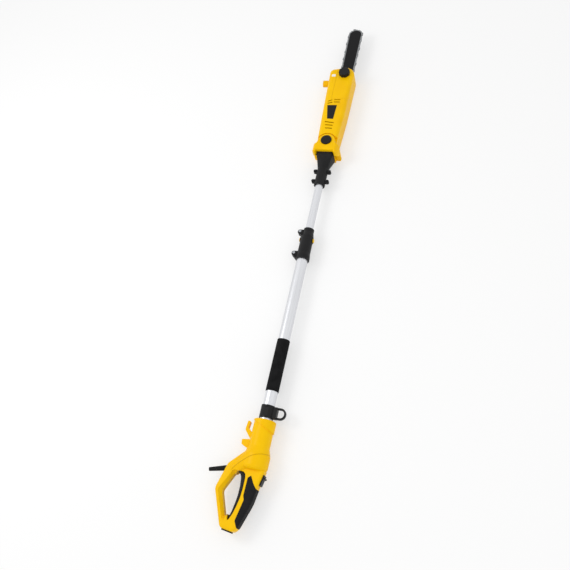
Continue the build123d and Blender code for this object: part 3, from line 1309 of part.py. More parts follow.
with BuildPart() as chain_drive_links:
    with Locations(*link_places(link_runs)):
        add(link_sheet(DRIVE_LINK, -LINK_THICKNESS / 2, LINK_THICKNESS / 2))

with BuildPart() as chain_tie_straps:
    for side in (-1, 1):
        low, high = sorted((side * strap_low, side * strap_high))
        plain_runs = [run for run in gap_runs if run not in cutter_runs[side]]
        with Locations(*link_places(plain_runs)):
            add(link_sheet(TIE_STRAP, low, high))


def cutter(side):
    """One cutter at the origin: a side plate with a depth gauge, and a top plate bent over."""
    low, high = sorted((side * strap_low, side * strap_high))
    over_low, over_high = sorted((-side * strap_low, side * CUTTER_WIDE))
    with BuildPart() as body:
        add(link_sheet(CUTTER, low, high))
        heel, edge = CUTTER[1], CUTTER[2]
        under = CUTTER_TOP - CUTTER_PLATE
        add(link_sheet([(heel[0], under), heel, edge, (edge[0], under)], over_low, over_high))
    return body.part


with BuildPart() as chain_cutters:
    for side in (-1, 1):
        with Locations(*link_places(cutter_runs[side])):
            add(cutter(side))

with BuildPart() as drive_sprocket:
    with BuildSketch(Plane((BAR_X, SPROCKET_Y, BAR_Z - SPROCKET_THICKNESS / 2))):
        Circle(TOOTH_ROOT)
        with PolarLocations(0, SPROCKET_TEETH, start_angle=degrees(-lean) - 180 / SPROCKET_TEETH):
            Polygon(
                (0, -TOOTH_ROOT_WIDE / 2),
                (TOOTH_ROOT, -TOOTH_ROOT_WIDE / 2),
                (TOOTH_TIP, -TOOTH_TIP_WIDE / 2),
                (TOOTH_TIP, TOOTH_TIP_WIDE / 2),
                (TOOTH_ROOT, TOOTH_ROOT_WIDE / 2),
                (0, TOOTH_ROOT_WIDE / 2),
                align=None,
            )
    extrude(amount=SPROCKET_THICKNESS)
    add(disc(SPROCKET_HUB_RADIUS - 2 * AIR, RIM + AIR, BAR_Z, BAR_X, SPROCKET_Y))
    add(disc(SHAFT_RADIUS + RUN, 0, 2 * BAR_Z, BAR_X, SPROCKET_Y), mode=Mode.SUBTRACT)

with BuildPart() as output_shaft:
    add(disc(SHAFT_RADIUS, BACK_INSIDE + AIR, BAR_Z + SHAFT_RADIUS, BAR_X, SPROCKET_Y))

# Gears and motor

GEAR_RADIUS = GEAR_TEETH * MODULE / 2
PINION_RADIUS = PINION_TEETH * MODULE / 2
face_left = 1 - GEAR_FACE / hypot(GEAR_RADIUS, PINION_RADIUS)
gear_rim = MOTOR_Z - PINION_RADIUS
pinion_rim = SPROCKET_ABOVE - GEAR_RADIUS

with BuildPart() as bevel_gear:
    with BuildSketch(Plane((BAR_X, SPROCKET_Y, 0), x_dir=(1, 0, 0), z_dir=(0, -1, 0))):
        with BuildLine():
            Polyline(
                (SHAFT_RADIUS + RUN, gear_rim - GEAR_BODY),
                (GEAR_HUB * 2, gear_rim - GEAR_BODY),
                (GEAR_RADIUS, gear_rim - GEAR_BODY / 3),
                (GEAR_RADIUS, gear_rim - AIR),
                (face_left * GEAR_RADIUS, MOTOR_Z - face_left * PINION_RADIUS - AIR),
                (SHAFT_RADIUS + RUN, MOTOR_Z - face_left * PINION_RADIUS - AIR),
                close=True,
            )
        make_face()
    revolve(axis=Axis((BAR_X, SPROCKET_Y, 0), (0, 0, 1)))

with BuildPart() as bevel_pinion:
    hub_start = PIVOT_Y + pinion_rim - PINION_HUB
    grip_end = PIVOT_Y + pinion_rim - PINION_HUB + PINION_GRIP
    nose_end = SPROCKET_Y - face_left * GEAR_RADIUS
    add(
        turned(
            [
                (MOTOR_SHAFT_RADIUS + RUN, hub_start),
                (PINION_HUB_RADIUS, hub_start),
                (PINION_HUB_RADIUS, SPROCKET_Y - GEAR_RADIUS - 1),
                (PINION_RADIUS, SPROCKET_Y - GEAR_RADIUS),
                (face_left * PINION_RADIUS, nose_end),
                (0, nose_end),
                (0, grip_end),
                (MOTOR_SHAFT_RADIUS + RUN, grip_end),
            ],
            BAR_X,
            MOTOR_Z,
        )
    )

with BuildPart() as armature:
    add(along_motor(MOTOR_SHAFT_RADIUS, LOWER_BEARING + AIR, pinion_rim - PINION_HUB + PINION_GRIP - SEAT))
    add(along_motor(COMMUTATOR_RADIUS, COMMUTATOR_START, COMMUTATOR_START + COMMUTATOR_LENGTH))
    core_end = STATOR_START + STATOR_LENGTH - ROTOR_SHORT
    add(along_motor(STATOR_BORE - ROTOR_GAP, STATOR_START + ROTOR_SHORT, core_end))

with BuildPart() as cooling_fan:
    add(along_motor(FAN_HUB, FAN_START, FAN_START + FAN_LENGTH))
    add(along_motor(FAN_RADIUS, FAN_START, FAN_START + FAN_SHEET))
    with BuildSketch(Plane((BAR_X, PIVOT_Y + FAN_START, MOTOR_Z), x_dir=(1, 0, 0), z_dir=(0, 1, 0))):
        with PolarLocations(FAN_RADIUS / 2, FAN_BLADES):
            Rectangle(FAN_RADIUS - FAN_SHEET, FAN_SHEET)
    extrude(amount=FAN_LENGTH)
    add(along_motor(MOTOR_SHAFT_RADIUS + RUN, FAN_START, FAN_START + FAN_LENGTH), mode=Mode.SUBTRACT)

with BuildPart() as stator:
    add(along_motor(STATOR_RADIUS, STATOR_START, STATOR_START + STATOR_LENGTH, STATOR_BORE))

with BuildPart() as motor_brushes:
    for side in (-1, 1):
        near, far = sorted((side * (COMMUTATOR_RADIUS + AIR), side * (COMMUTATOR_RADIUS + AIR + BRUSH_LENGTH)))
        brush_low = (BAR_X + near, PIVOT_Y + ROOM_START, MOTOR_Z - BRUSH_HALF)
        brush_end = PIVOT_Y + COMMUTATOR_START + COMMUTATOR_LENGTH
        add(block(brush_low, (BAR_X + far, brush_end, MOTOR_Z + BRUSH_HALF)))

with BuildPart() as bearings:
    for start in (LOWER_BEARING, UPPER_BEARING):
        add(along_motor(MOTOR_BEARING_RADIUS, start, start + MOTOR_BEARING_LENGTH, MOTOR_SHAFT_RADIUS + RUN))
    for low, high in ((BACK_INSIDE, BACK_INSIDE + BEARING_LENGTH), (PLATE_LOW, RIM)):
        add(ring(BEARING_RADIUS, SHAFT_RADIUS + RUN, low, high, BAR_X, SPROCKET_Y))

# Oil system

filler_y = PIVOT_Y + FILLER_ABOVE

with BuildPart() as tank_blank:
    tank_inset = HEAD_WALL + SEAT
    tank_right = wall_left - SEAT
    add(head_block(tank_inset, BACK_INSIDE + SEAT, HEAD_INSIDE - SEAT, HEAD_ROUND - tank_inset))
    tank_low = (-2 * REST_HALF, PIVOT_Y + TANK_START, -2 * REST_HALF)
    add(block(tank_low, (tank_right, PIVOT_Y + TANK_END, 2 * REST_HALF)), mode=Mode.INTERSECT)
    with Locations(Plane((-FILLER_REACH, filler_y, 0), z_dir=(1, 0, 0))):
        Cylinder(FILLER_RADIUS, FILLER_REACH + tank_right, align=STAND)

with BuildPart() as tank_room:
    room_inset = tank_inset + TANK_WALL
    room_floor = BACK_INSIDE + SEAT + TANK_WALL
    add(head_block(room_inset, room_floor, HEAD_INSIDE - SEAT - TANK_WALL, HEAD_ROUND - room_inset))
    room_low = (-2 * REST_HALF, PIVOT_Y + TANK_START + TANK_WALL, -2 * REST_HALF)
    room_high = (tank_right - TANK_WALL, PIVOT_Y + TANK_END - TANK_WALL, 2 * REST_HALF)
    add(block(room_low, room_high), mode=Mode.INTERSECT)
    with Locations(Plane((-FILLER_REACH, filler_y, 0), z_dir=(1, 0, 0))):
        Cylinder(FILLER_RADIUS - TANK_WALL, FILLER_REACH + tank_right - TANK_WALL, align=STAND)

with BuildPart() as oil_tank:
    add(tank_blank.part)
    add(tank_room.part, mode=Mode.SUBTRACT)

cap_root = HEAD_TOP_LEFT[0] - AIR

with BuildPart() as oil_cap:
    with BuildSketch(Plane((cap_root, filler_y, 0), z_dir=(-1, 0, 0))):
        Circle(CAP_RADIUS - CAP_RIB / 2)
        with PolarLocations(CAP_RADIUS - CAP_RIB / 2, CAP_RIBS):
            Rectangle(CAP_RIB, CAP_RIB)
    extrude(amount=CAP_LENGTH)
    with Locations(Plane((cap_root, filler_y, 0), z_dir=(-1, 0, 0))):
        Cylinder(FILLER_RADIUS + RUN, FILLER_REACH + cap_root + AIR, align=STAND, mode=Mode.SUBTRACT)

with BuildPart() as oil_window:
    with BuildSketch(Plane((WINDOW_CENTRE[0], PIVOT_Y + WINDOW_CENTRE[1], HEAD_INSIDE))):
        RectangleRounded(*WINDOW_SIZE, WINDOW_ROUND)
    extrude(amount=HEAD_WALL + WINDOW_PROUD)

with BuildPart() as oil_pump:
    with Locations((PUMP_PLACE[0], PIVOT_Y + PUMP_PLACE[1], BACK_INSIDE)):
        Box(*PUMP_SIZE, align=STAND)

pieces = {
    "handle_shell_front": handle_shell_front,
    "handle_shell_rear": handle_shell_rear,
    "handle_screws": handle_screws,
    "grip_pad_front": grip_pad_front,
    "grip_pad_rear": grip_pad_rear,
    "trigger": trigger,
    "trigger_pin": trigger_pin,
    "trigger_spring": trigger_spring,
    "power_switch": power_switch,
    "lock_off_button": lock_off_button,
    "lock_off_spring": lock_off_spring,
    "cord_strain_relief": cord_strain_relief,
    "cord_clamp": cord_clamp,
    "foot_pad": foot_pad,
    "lower_tube": lower_tube,
    "upper_tube": upper_tube,
    "guide_bush": guide_bush,
    "tail_bush": tail_bush,
    "coiled_lead": coiled_lead,
    "foam_grip": foam_grip,
    "strap_collar": strap_collar,
    "clamp_bolts": clamp_bolts,
    "telescope_sleeve": telescope_sleeve,
    "lock_button_left": lock_button_left,
    "lock_button_right": lock_button_right,
    "neck_front": neck_front,
    "neck_rear": neck_rear,
    "neck_screws": neck_screws,
    "yoke_front": yoke_front,
    "yoke_rear": yoke_rear,
    "pivot_bolt": pivot_bolt,
    "tilt_button": tilt_button,
    "tilt_spring": tilt_spring,
    "head_shell_front": head_shell_front,
    "head_shell_rear": head_shell_rear,
    "head_screws": head_screws,
    "sprocket_cover": sprocket_cover,
    "label_plate": label_plate,
    "bar_mount_plate": bar_mount_plate,
    "bar_stud": bar_stud,
    "bar_knob": bar_knob,
    "guide_bar": guide_bar,
    "chain_drive_links": chain_drive_links,
    "chain_tie_straps": chain_tie_straps,
    "chain_cutters": chain_cutters,
    "chain_tensioner": chain_tensioner,
    "drive_sprocket": drive_sprocket,
    "output_shaft": output_shaft,
    "bevel_gear": bevel_gear,
    "bevel_pinion": bevel_pinion,
    "armature": armature,
    "cooling_fan": cooling_fan,
    "stator": stator,
    "motor_brushes": motor_brushes,
    "bearings": bearings,
    "oil_tank": oil_tank,
    "oil_cap": oil_cap,
    "oil_window": oil_window,
    "oil_pump": oil_pump,
}

os.makedirs("parts", exist_ok=True)
for name, piece in pieces.items():
    piece.part.label = name
    export_step(piece.part, f"parts/{name}.step")
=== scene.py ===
# %% [markdown]
# # A telescoping pole saw
#
# The saw lies on its back on a studio floor: a D-handle with a trigger at the near end, two
# aluminium tubes that slide into each other, and a tilting head with a bar and chain. The rigid
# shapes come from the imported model. This lesson gives them their finishes, cuts copies of a few of
# them to a truer shape (the handle's shells, the yoke and the screw heads), and models anew what the
# solids show too plainly: the trigger, the foam grip, the chain's rivets, the springs and the lead.
# Everything is in metres in the model's own frame: Y runs along the pole and Z is up.

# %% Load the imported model
import json
import math

import bmesh
import bpy
from mathutils import Matrix, Vector


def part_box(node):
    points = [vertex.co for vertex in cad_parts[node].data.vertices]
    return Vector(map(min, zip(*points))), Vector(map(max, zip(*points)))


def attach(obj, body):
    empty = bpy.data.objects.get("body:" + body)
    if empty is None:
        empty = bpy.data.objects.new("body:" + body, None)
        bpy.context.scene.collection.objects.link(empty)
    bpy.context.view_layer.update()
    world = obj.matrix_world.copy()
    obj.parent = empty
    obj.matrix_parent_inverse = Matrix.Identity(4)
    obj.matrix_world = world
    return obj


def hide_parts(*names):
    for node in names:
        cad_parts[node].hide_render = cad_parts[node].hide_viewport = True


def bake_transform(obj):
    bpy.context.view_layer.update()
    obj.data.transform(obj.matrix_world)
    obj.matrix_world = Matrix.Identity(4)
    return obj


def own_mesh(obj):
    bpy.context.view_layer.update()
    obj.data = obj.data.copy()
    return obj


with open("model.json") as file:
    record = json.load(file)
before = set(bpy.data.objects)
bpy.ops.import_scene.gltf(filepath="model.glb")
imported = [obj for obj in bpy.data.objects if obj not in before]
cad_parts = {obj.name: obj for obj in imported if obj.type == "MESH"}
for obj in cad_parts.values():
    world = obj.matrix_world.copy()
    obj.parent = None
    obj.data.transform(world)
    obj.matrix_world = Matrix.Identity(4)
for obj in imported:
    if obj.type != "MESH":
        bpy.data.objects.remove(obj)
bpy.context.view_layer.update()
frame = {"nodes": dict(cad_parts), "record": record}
solids = frame["nodes"]

# %% [markdown]
# ## The camera
#
# The picture was taken from above and from the handle's end, so that the pole leans back to the
# left and gets smaller towards the head. A camera can be aimed with a constraint, but here its
# place and its axes were measured on the object, so they are set directly as a matrix.

# %% Camera
MM = 0.001
FRAME_PIXELS = 570
FOCAL_PIXELS = 640  # focal length, measured in pixels of the picture
SENSOR_WIDTH = 36  # millimetres
camera_data = bpy.data.cameras.new("photo_camera")
camera_data.sensor_width = SENSOR_WIDTH
camera_data.lens = SENSOR_WIDTH * FOCAL_PIXELS / FRAME_PIXELS
camera = bpy.data.objects.new("photo_camera", camera_data)
bpy.context.collection.objects.link(camera)
spot = Vector((527.9, -396.6, 1732.3)) * MM
right = Vector((0.9545, 0.2106, -0.2104)).normalized()
up = Vector((-0.0953, 0.8855, 0.4544)).normalized()
back = right.cross(up)
camera.matrix_world = Matrix.Translation(spot) @ Matrix((right, up, back)).transposed().to_4x4()
bpy.context.scene.camera = camera
print("camera with a", round(camera_data.lens, 1), "mm lens at", list(spot))

# %% [markdown]
# ## Helpers for the finishes
#
# A finish is a small graph of nodes. Writing each node out takes many lines, so one function adds
# a node, sets its values and makes its links. Colours are picked on screen as sRGB hex values, and
# a shader needs them linear, so one more function converts them by the standard's curve.

# %% Node and colour helpers
def linear(hex_colour):
    """An sRGB hex colour as the linear colour that a shader takes."""
    channels = [int(hex_colour[start:start + 2], 16) / 255 for start in (1, 3, 5)]
    return [c / 12.92 if c <= 0.04045 else ((c + 0.055) / 1.055) ** 2.4 for c in channels] + [1.0]


def add(tree, kind, inputs=None, ramp=(), **settings):
    """Add one node: its settings, the values or links of its inputs, and a ramp's colours."""
    node = tree.nodes.new(kind)
    for name, value in settings.items():
        setattr(node, name, value)
    for name, value in (inputs or {}).items():
        if isinstance(value, bpy.types.NodeSocket):
            tree.links.new(value, node.inputs[name])
        else:
            node.inputs[name].default_value = value
    for stop, (place, colour) in enumerate(ramp):
        node.color_ramp.elements[stop].position = place
        node.color_ramp.elements[stop].color = linear(colour)
    return node


def blank(name, roughness, metallic=0.0, specular=0.5):
    """A new finish: its material, node tree and shader, and the coordinates that its patterns use."""
    material = bpy.data.materials.new(name)
    material.use_nodes = True
    tree = material.node_tree
    shader = tree.nodes["Principled BSDF"]
    shader.inputs["Roughness"].default_value = roughness
    shader.inputs["Metallic"].default_value = metallic
    shader.inputs["Specular IOR Level"].default_value = specular
    coordinates = add(tree, "ShaderNodeTexCoord").outputs["Object"]
    return material, tree, shader, coordinates


print("helpers ready")

# %% [markdown]
# ## Moulded plastics
#
# The shells are injection moulded: ABS for the yellow covers, glass-filled nylon for the black
# clamps and buttons. A mould gives the plastic a fine spark-eroded grain, and the melt leaves
# faint clouds of tone and gloss. Moulded edges are never knife sharp, and a Bevel node rounds the
# light on them without changing the mesh. One function makes the whole family, because only the
# colours, the gloss and the grain differ.

# %% The moulded family
CLOUD = 60 * MM  # size of the faint clouds in a moulding
GRAIN = 1.2 * MM  # real grain is near 0.3 mm, drawn coarser so that it shows
MOULDED_EDGE = 0.5 * MM
EDGE_SAMPLES = 6
SMOOTHER = 0.05  # how far a cloud lowers the roughness
ROUGHER = 0.06  # how far it rises between the clouds


def moulded(name, colour, cloud_colour, roughness, depth, shine=0.2, grain=GRAIN):
    """A moulded plastic with its grain's depth and size in metres."""
    material, tree, shader, place = blank(name, roughness, specular=shine)
    clouds = add(tree, "ShaderNodeTexNoise", {"Vector": place, "Scale": 1 / CLOUD, "Detail": 4.0})
    tone = add(
        tree,
        "ShaderNodeValToRGB",
        {"Fac": clouds.outputs["Fac"]},
        ramp=[(0.32, cloud_colour), (0.62, colour)],
    )
    tree.links.new(tone.outputs["Color"], shader.inputs["Base Color"])
    gloss = add(
        tree,
        "ShaderNodeMapRange",
        {"Value": clouds.outputs["Fac"], "To Min": roughness - SMOOTHER, "To Max": roughness + ROUGHER},
    )
    tree.links.new(gloss.outputs["Result"], shader.inputs["Roughness"])
    sparks = add(tree, "ShaderNodeTexNoise", {"Vector": place, "Scale": 1 / grain, "Detail": 2.0})
    edges = add(tree, "ShaderNodeBevel", {"Radius": MOULDED_EDGE}, samples=EDGE_SAMPLES)
    bump = add(
        tree,
        "ShaderNodeBump",
        {
            "Strength": 0.6,
            "Distance": depth,
            "Height": sparks.outputs["Fac"],
            "Normal": edges.outputs["Normal"],
        },
    )
    tree.links.new(bump.outputs["Normal"], shader.inputs["Normal"])
    return material


print("moulded family ready, with a grain of", GRAIN, "m")

# %% Moulded plastic finishes
finishes = {
    # A satin gloss that stays a full warm yellow on every side
    "yellow_shell": moulded(
        "abs_moulded_yellow", "#FAC600", "#F5BD00", roughness=0.36, depth=0.05 * MM, shine=0.1
    ),
    "yellow_button": moulded(
        "abs_moulded_button_yellow", "#F6C302", "#EFB900", roughness=0.33, depth=0.03 * MM, shine=0.1
    ),
    # A soft black with a wide, weak shine
    "black_shell": moulded(
        "nylon_moulded_black", "#1D1D1E", "#171718", roughness=0.5, depth=0.12 * MM, shine=0.16
    ),
    "black_trim": moulded(
        "nylon_moulded_trim_black", "#19191A", "#131314", roughness=0.42, depth=0.08 * MM, shine=0.18
    ),
    # A dull dark grey, for what is inside the housings
    "inner_plastic": moulded(
        "nylon_moulded_grey", "#3A3B3D", "#333436", roughness=0.55, depth=0.1 * MM
    ),
    # Pressed powder, dark and dry
    "brush_carbon": moulded(
        "carbon_pressed", "#302F32", "#29282B", roughness=0.6, depth=0.1 * MM, grain=0.8 * MM
    ),
    # Milky polyethylene, waxy and pale
    "tank_plastic": moulded(
        "polyethylene_moulded_milky", "#E4E2D7", "#DCD9CC", roughness=0.45, depth=0.05 * MM, shine=0.4
    ),
    # Milky polycarbonate, as smooth as its polished mould
    "window_plastic": moulded(
        "polycarbonate_moulded_milky", "#F4F4F0", "#EBEBE5", roughness=0.2, depth=0.02 * MM, shine=0.5
    ),
}
print(len(finishes), "moulded finishes")

# %% [markdown]
# ## Rubber and foam
#
# The grip skin is a soft thermoplastic rubber moulded over the shell, matt and slightly stippled.
# The sleeve on the pole is closed-cell foam: skinned bubbles with pores between them, which
# scatter the light so that it has no shine at all. A noise would blur such cells together. A Voronoi
# pattern keeps them apart, and its distance to a cell's edge gives the pores, which a bump sinks and
# painted shade darkens.

# %% Rubber finishes
PATCH_CELLS = 12  # cells across one of the random patches in which the pores' painted shade is darker


def rubbery(name, colour, pore_shade_colour, roughness, cell, depth):
    """A rubber or foam with cells of a given size, deeper between them and darkened there with painted shade.
    """
    material, tree, shader, place = blank(name, roughness, specular=0.12)
    cells = add(
        tree,
        "ShaderNodeTexVoronoi",
        {"Vector": place, "Scale": 1 / cell},
        feature="DISTANCE_TO_EDGE",
    )
    patches = add(
        tree,
        "ShaderNodeTexNoise",
        {"Vector": place, "Scale": 1 / (PATCH_CELLS * cell), "Detail": 3.0},
    )
    # The pores are darkened with painted shade, more in some random patches than in others
    pore_shade = add(
        tree,
        "ShaderNodeMath",
        {0: cells.outputs["Distance"], 1: patches.outputs["Fac"]},
        operation="ADD",
    )
    tone = add(
        tree,
        "ShaderNodeValToRGB",
        {"Fac": pore_shade.outputs["Value"]},
        ramp=[(0.4, pore_shade_colour), (0.85, colour)],
    )
    tree.links.new(tone.outputs["Color"], shader.inputs["Base Color"])
    bump = add(
        tree,
        "ShaderNodeBump",
        {"Strength": 0.7, "Distance": depth, "Height": cells.outputs["Distance"]},
    )
    tree.links.new(bump.outputs["Normal"], shader.inputs["Normal"])
    return material


# Matt and stippled, so that it looks soft beside the nylon
finishes["grip_rubber"] = rubbery(
    "rubber_overmoulded_black", "#1F1F20", "#161617", roughness=0.66, cell=1.1 * MM, depth=0.12 * MM
)
# Smoother, with the sheen of a cable's skin
finishes["lead_rubber"] = rubbery(
    "rubber_extruded_black", "#1C1C1D", "#151516", roughness=0.6, cell=1.5 * MM, depth=0.03 * MM
)
# Quite dull, with pores darkened by painted shade, drawn coarser than they are
finishes["foam"] = rubbery(
    "foam_closed_cell_black", "#1E1E1F", "#101011", roughness=0.95, cell=1.8 * MM, depth=0.35 * MM
)
print(len(finishes), "finishes with the rubbers")

# %% [markdown]
# ## Bare metals
#
# The tubes are drawn aluminium. The die leaves hair lines along the tube, which spread the shine
# across it, and they are a noise stretched along Y. Turned, plated and ground steel parts have
# marks without a direction, so the same function takes the mark's length along each axis.

# %% The family of metals
METAL_EDGE = 0.3 * MM
DULLER = 0.08  # how far a mark raises the roughness
BRIGHTER = 0.06  # how far it falls between the marks


def bare_metal(name, colour, mark_colour, roughness, mark, depth):
    """A bare metal whose surface marks have a size along x, y and z in metres."""
    material, tree, shader, place = blank(name, roughness, metallic=1.0)
    stretched = add(
        tree,
        "ShaderNodeMapping",
        {"Vector": place, "Scale": [1 / length for length in mark]},
    )
    marks = add(
        tree,
        "ShaderNodeTexNoise",
        {"Vector": stretched.outputs["Vector"], "Scale": 1.0, "Detail": 5.0, "Roughness": 0.6},
    )
    tone = add(
        tree,
        "ShaderNodeValToRGB",
        {"Fac": marks.outputs["Fac"]},
        ramp=[(0.3, mark_colour), (0.65, colour)],
    )
    tree.links.new(tone.outputs["Color"], shader.inputs["Base Color"])
    shine = add(
        tree,
        "ShaderNodeMapRange",
        {"Value": marks.outputs["Fac"], "To Min": roughness + DULLER, "To Max": roughness - BRIGHTER},
    )
    tree.links.new(shine.outputs["Result"], shader.inputs["Roughness"])
    edges = add(tree, "ShaderNodeBevel", {"Radius": METAL_EDGE}, samples=EDGE_SAMPLES)
    bump = add(
        tree,
        "ShaderNodeBump",
        {
            "Strength": 0.5,
            "Distance": depth,
            "Height": marks.outputs["Fac"],
            "Normal": edges.outputs["Normal"],
        },
    )
    tree.links.new(bump.outputs["Normal"], shader.inputs["Normal"])
    return material


def even(size):
    """A mark of the same size along every axis."""
    return (size, size, size)


print("metal family ready")

# %% Metal finishes
DRAWN_LINE = (1.2 * MM, 160 * MM, 1.2 * MM)  # hair lines, drawn coarser than they are
LAMINATION = (40 * MM, 1.5 * MM, 40 * MM)  # stacked sheets, drawn thicker than they are
# Pale, with a streak of light along the tube
finishes["pole_aluminium"] = bare_metal(
    "aluminium_drawn", "#E3E4E7", "#CFD0D4", roughness=0.34, mark=DRAWN_LINE, depth=0.02 * MM
)
# Bright and slightly cold
finishes["screw_steel"] = bare_metal(
    "steel_zinc_plated", "#BFC2C6", "#A6A9AE", roughness=0.3, mark=even(2.5 * MM), depth=0.02 * MM
)
# Nearly black, with a dull metal shine
finishes["screw_black"] = bare_metal(
    "steel_black_oxide", "#3A3A3D", "#2A2A2D", roughness=0.42, mark=even(2.5 * MM), depth=0.02 * MM
)
# Greyer and more mottled, under a film of oil
finishes["chain_steel"] = bare_metal(
    "steel_stamped_oiled", "#A4A6A8", "#77797B", roughness=0.38, mark=even(3 * MM), depth=0.04 * MM
)
# Middle greys, fine marked
finishes["gear_steel"] = bare_metal(
    "steel_ground_hardened", "#8E9196", "#75787C", roughness=0.35, mark=even(2 * MM), depth=0.03 * MM
)
finishes["spring_steel"] = bare_metal(
    "steel_drawn_wire", "#9A9DA2", "#7F8287", roughness=0.32, mark=even(1.5 * MM), depth=0.02 * MM
)
# Dark rings, one for each stacked sheet
finishes["motor_iron"] = bare_metal(
    "iron_laminated", "#5D6064", "#4A4C50", roughness=0.5, mark=LAMINATION, depth=0.1 * MM
)
print(len(finishes), "finishes with the metals")

# %% [markdown]
# ## The bar's enamel
#
# The bar is ground steel under black enamel. The enamel is smooth with a slight orange peel, and
# it wears through first where the chain rubs the rails. An edge can be found without drawing it:
# the Bevel node bends the normal close to an edge, so the angle between the bent and the true
# normal is a mask that grows towards every edge.

# %% Worn edges of the enamel
WEAR_WIDTH = 1.4 * MM
WEAR_SAMPLES = 8
SCUFF = 5 * MM  # size of the scuffs that break the wear up
material, tree, shader, place = blank("steel_enamelled_black", roughness=0.36, specular=0.12)
near_edges = add(tree, "ShaderNodeBevel", {"Radius": WEAR_WIDTH}, samples=WEAR_SAMPLES)
true_normal = add(tree, "ShaderNodeNewGeometry").outputs["Normal"]
agreement = add(
    tree,
    "ShaderNodeVectorMath",
    {0: near_edges.outputs["Normal"], 1: true_normal},
    operation="DOT_PRODUCT",
)
scuffs = add(tree, "ShaderNodeTexNoise", {"Vector": place, "Scale": 1 / SCUFF, "Detail": 5.0})
exposed = add(
    tree,
    "ShaderNodeMapRange",
    {"Value": agreement.outputs["Value"], "From Min": 1.0, "From Max": 0.75, "To Max": 0.9},
)
worn = add(
    tree,
    "ShaderNodeMath",
    {0: exposed.outputs["Result"], 1: scuffs.outputs["Fac"]},
    operation="MULTIPLY",
)
tone = add(
    tree,
    "ShaderNodeValToRGB",
    {"Fac": worn.outputs["Value"]},
    ramp=[(0.12, "#101012"), (0.5, "#5C5D60")],
)
tree.links.new(tone.outputs["Color"], shader.inputs["Base Color"])
print("enamel worn over", WEAR_WIDTH, "m of each edge")

# %% Orange peel of the enamel
PEEL = 2.5 * MM
ENAMEL_EDGE = 0.4 * MM
peel = add(tree, "ShaderNodeTexNoise", {"Vector": place, "Scale": 1 / PEEL, "Detail": 1.0})
soft_edges = add(tree, "ShaderNodeBevel", {"Radius": ENAMEL_EDGE}, samples=EDGE_SAMPLES)
bump = add(
    tree,
    "ShaderNodeBump",
    {
        "Strength": 0.4,
        "Distance": 0.05 * MM,
        "Height": peel.outputs["Fac"],
        "Normal": soft_edges.outputs["Normal"],
    },
)
tree.links.new(bump.outputs["Normal"], shader.inputs["Normal"])
finishes["bar_paint"] = material
print(len(finishes), "finishes with the enamel")

# %% [markdown]
# ## Dressing the solids
#
# Each solid's slot is written in the record, so the finishes can be dealt out by a loop. A solid's
# own mesh is never touched: only the material in its slot changes.

# %% Deal out the finishes
slot_of = {part["node"]: part["material_slot"] for part in frame["record"]["subparts"]}
for name, solid in solids.items():
    solid.data.materials.clear()
    solid.data.materials.append(finishes[slot_of[name]])
print(len(solids), "solids dressed")

# %% [markdown]
# ## Helpers for new pieces
#
# A new piece is shaped in a bmesh, then becomes an object at the origin that rides on one of the
# bodies. Its faces are shaded smooth, and only the edges that turn by more than an angle stay sharp.
# Round pieces are spun: a profile turned about an axis, with a screw motion for coils.

# %% Piece helpers
MERGE = 0.002 * MM  # vertices nearer than this are one


def make_piece(name, bm, body, slot, crease=60):
    """Turn a bmesh into a piece with its finish, which rides on a body if one is given."""
    bmesh.ops.remove_doubles(bm, verts=bm.verts, dist=MERGE)
    bmesh.ops.recalc_face_normals(bm, faces=bm.faces)
    for face in bm.faces:
        face.smooth = True
    for edge in bm.edges:
        edge.smooth = edge.calc_face_angle(0) < math.radians(crease)
    mesh = bpy.data.meshes.new(name)
    bm.to_mesh(mesh)
    bm.free()
    mesh.materials.append(finishes[slot])
    piece = bpy.data.objects.new(name, mesh)
    bpy.context.collection.objects.link(piece)
    if body:
        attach(piece, body)
    print(name, "has", len(mesh.polygons), "faces")
    return piece


def loop_of(bm, points):
    """A closed loop of edges through some points, as geometry to spin."""
    corners = [bm.verts.new(point) for point in points]
    edges = [bm.edges.new((corners[i - 1], corners[i])) for i in range(len(corners))]
    return corners + edges


print("piece helpers ready")

# %% [markdown]
# ## Cutting a copy of a solid
#
# The handle's shells, the yoke and the screws are nearly right as solids, and each lacks a few cuts.
# They could be modelled again from nothing. It is less work, and truer, to merge a copy of the solid
# and to cut it with prisms by Boolean modifiers, whose result is then kept as a mesh.

# %% Cutting helpers
CUT_CREASE = 30  # a smaller angle than for spun pieces, because a solid's own edges stay sharp


def prism(corners, low, high, along=2):
    """A closed prism on a plan of corners, between two places along an axis, all in millimetres."""
    bm = bmesh.new()
    foot = [[*corner[:along], low, *corner[along:]] for corner in corners]
    plan = bm.faces.new([bm.verts.new(Vector(point) * MM) for point in foot])
    grown = bmesh.ops.extrude_face_region(bm, geom=[plan])
    far = [item for item in grown["geom"] if isinstance(item, bmesh.types.BMVert)]
    rise = Vector((0, 0, 0))
    rise[along] = (high - low) * MM
    bmesh.ops.translate(bm, verts=far, vec=rise)
    bmesh.ops.recalc_face_normals(bm, faces=bm.faces)
    return bm


def merged_copy(node):
    """A solid's mesh as a bmesh with its loose triangles joined."""
    bm = bmesh.new()
    bm.from_mesh(solids[node].data)
    bmesh.ops.remove_doubles(bm, verts=bm.verts, dist=MERGE)
    return bm


def combine(bm, tools):
    """Cut or join tools with a bmesh, each given with the name of its operation."""
    helpers = []
    for shape in [bm] + [tool for tool, _ in tools]:
        mesh = bpy.data.meshes.new("helper")
        shape.to_mesh(mesh)
        shape.free()
        helper = bpy.data.objects.new("helper", mesh)
        bpy.context.collection.objects.link(helper)
        helpers.append(helper)
    for helper, (_, operation) in zip(helpers[1:], tools):
        cut = helpers[0].modifiers.new("cut", "BOOLEAN")
        cut.operation = operation
        cut.object = helper
    shaped = helpers[0].evaluated_get(bpy.context.evaluated_depsgraph_get())
    result = bmesh.new()
    result.from_mesh(shaped.to_mesh())
    for helper in helpers:
        mesh = helper.data
        bpy.data.objects.remove(helper)
        bpy.data.meshes.remove(mesh)
    return result


print("cutting helpers ready")

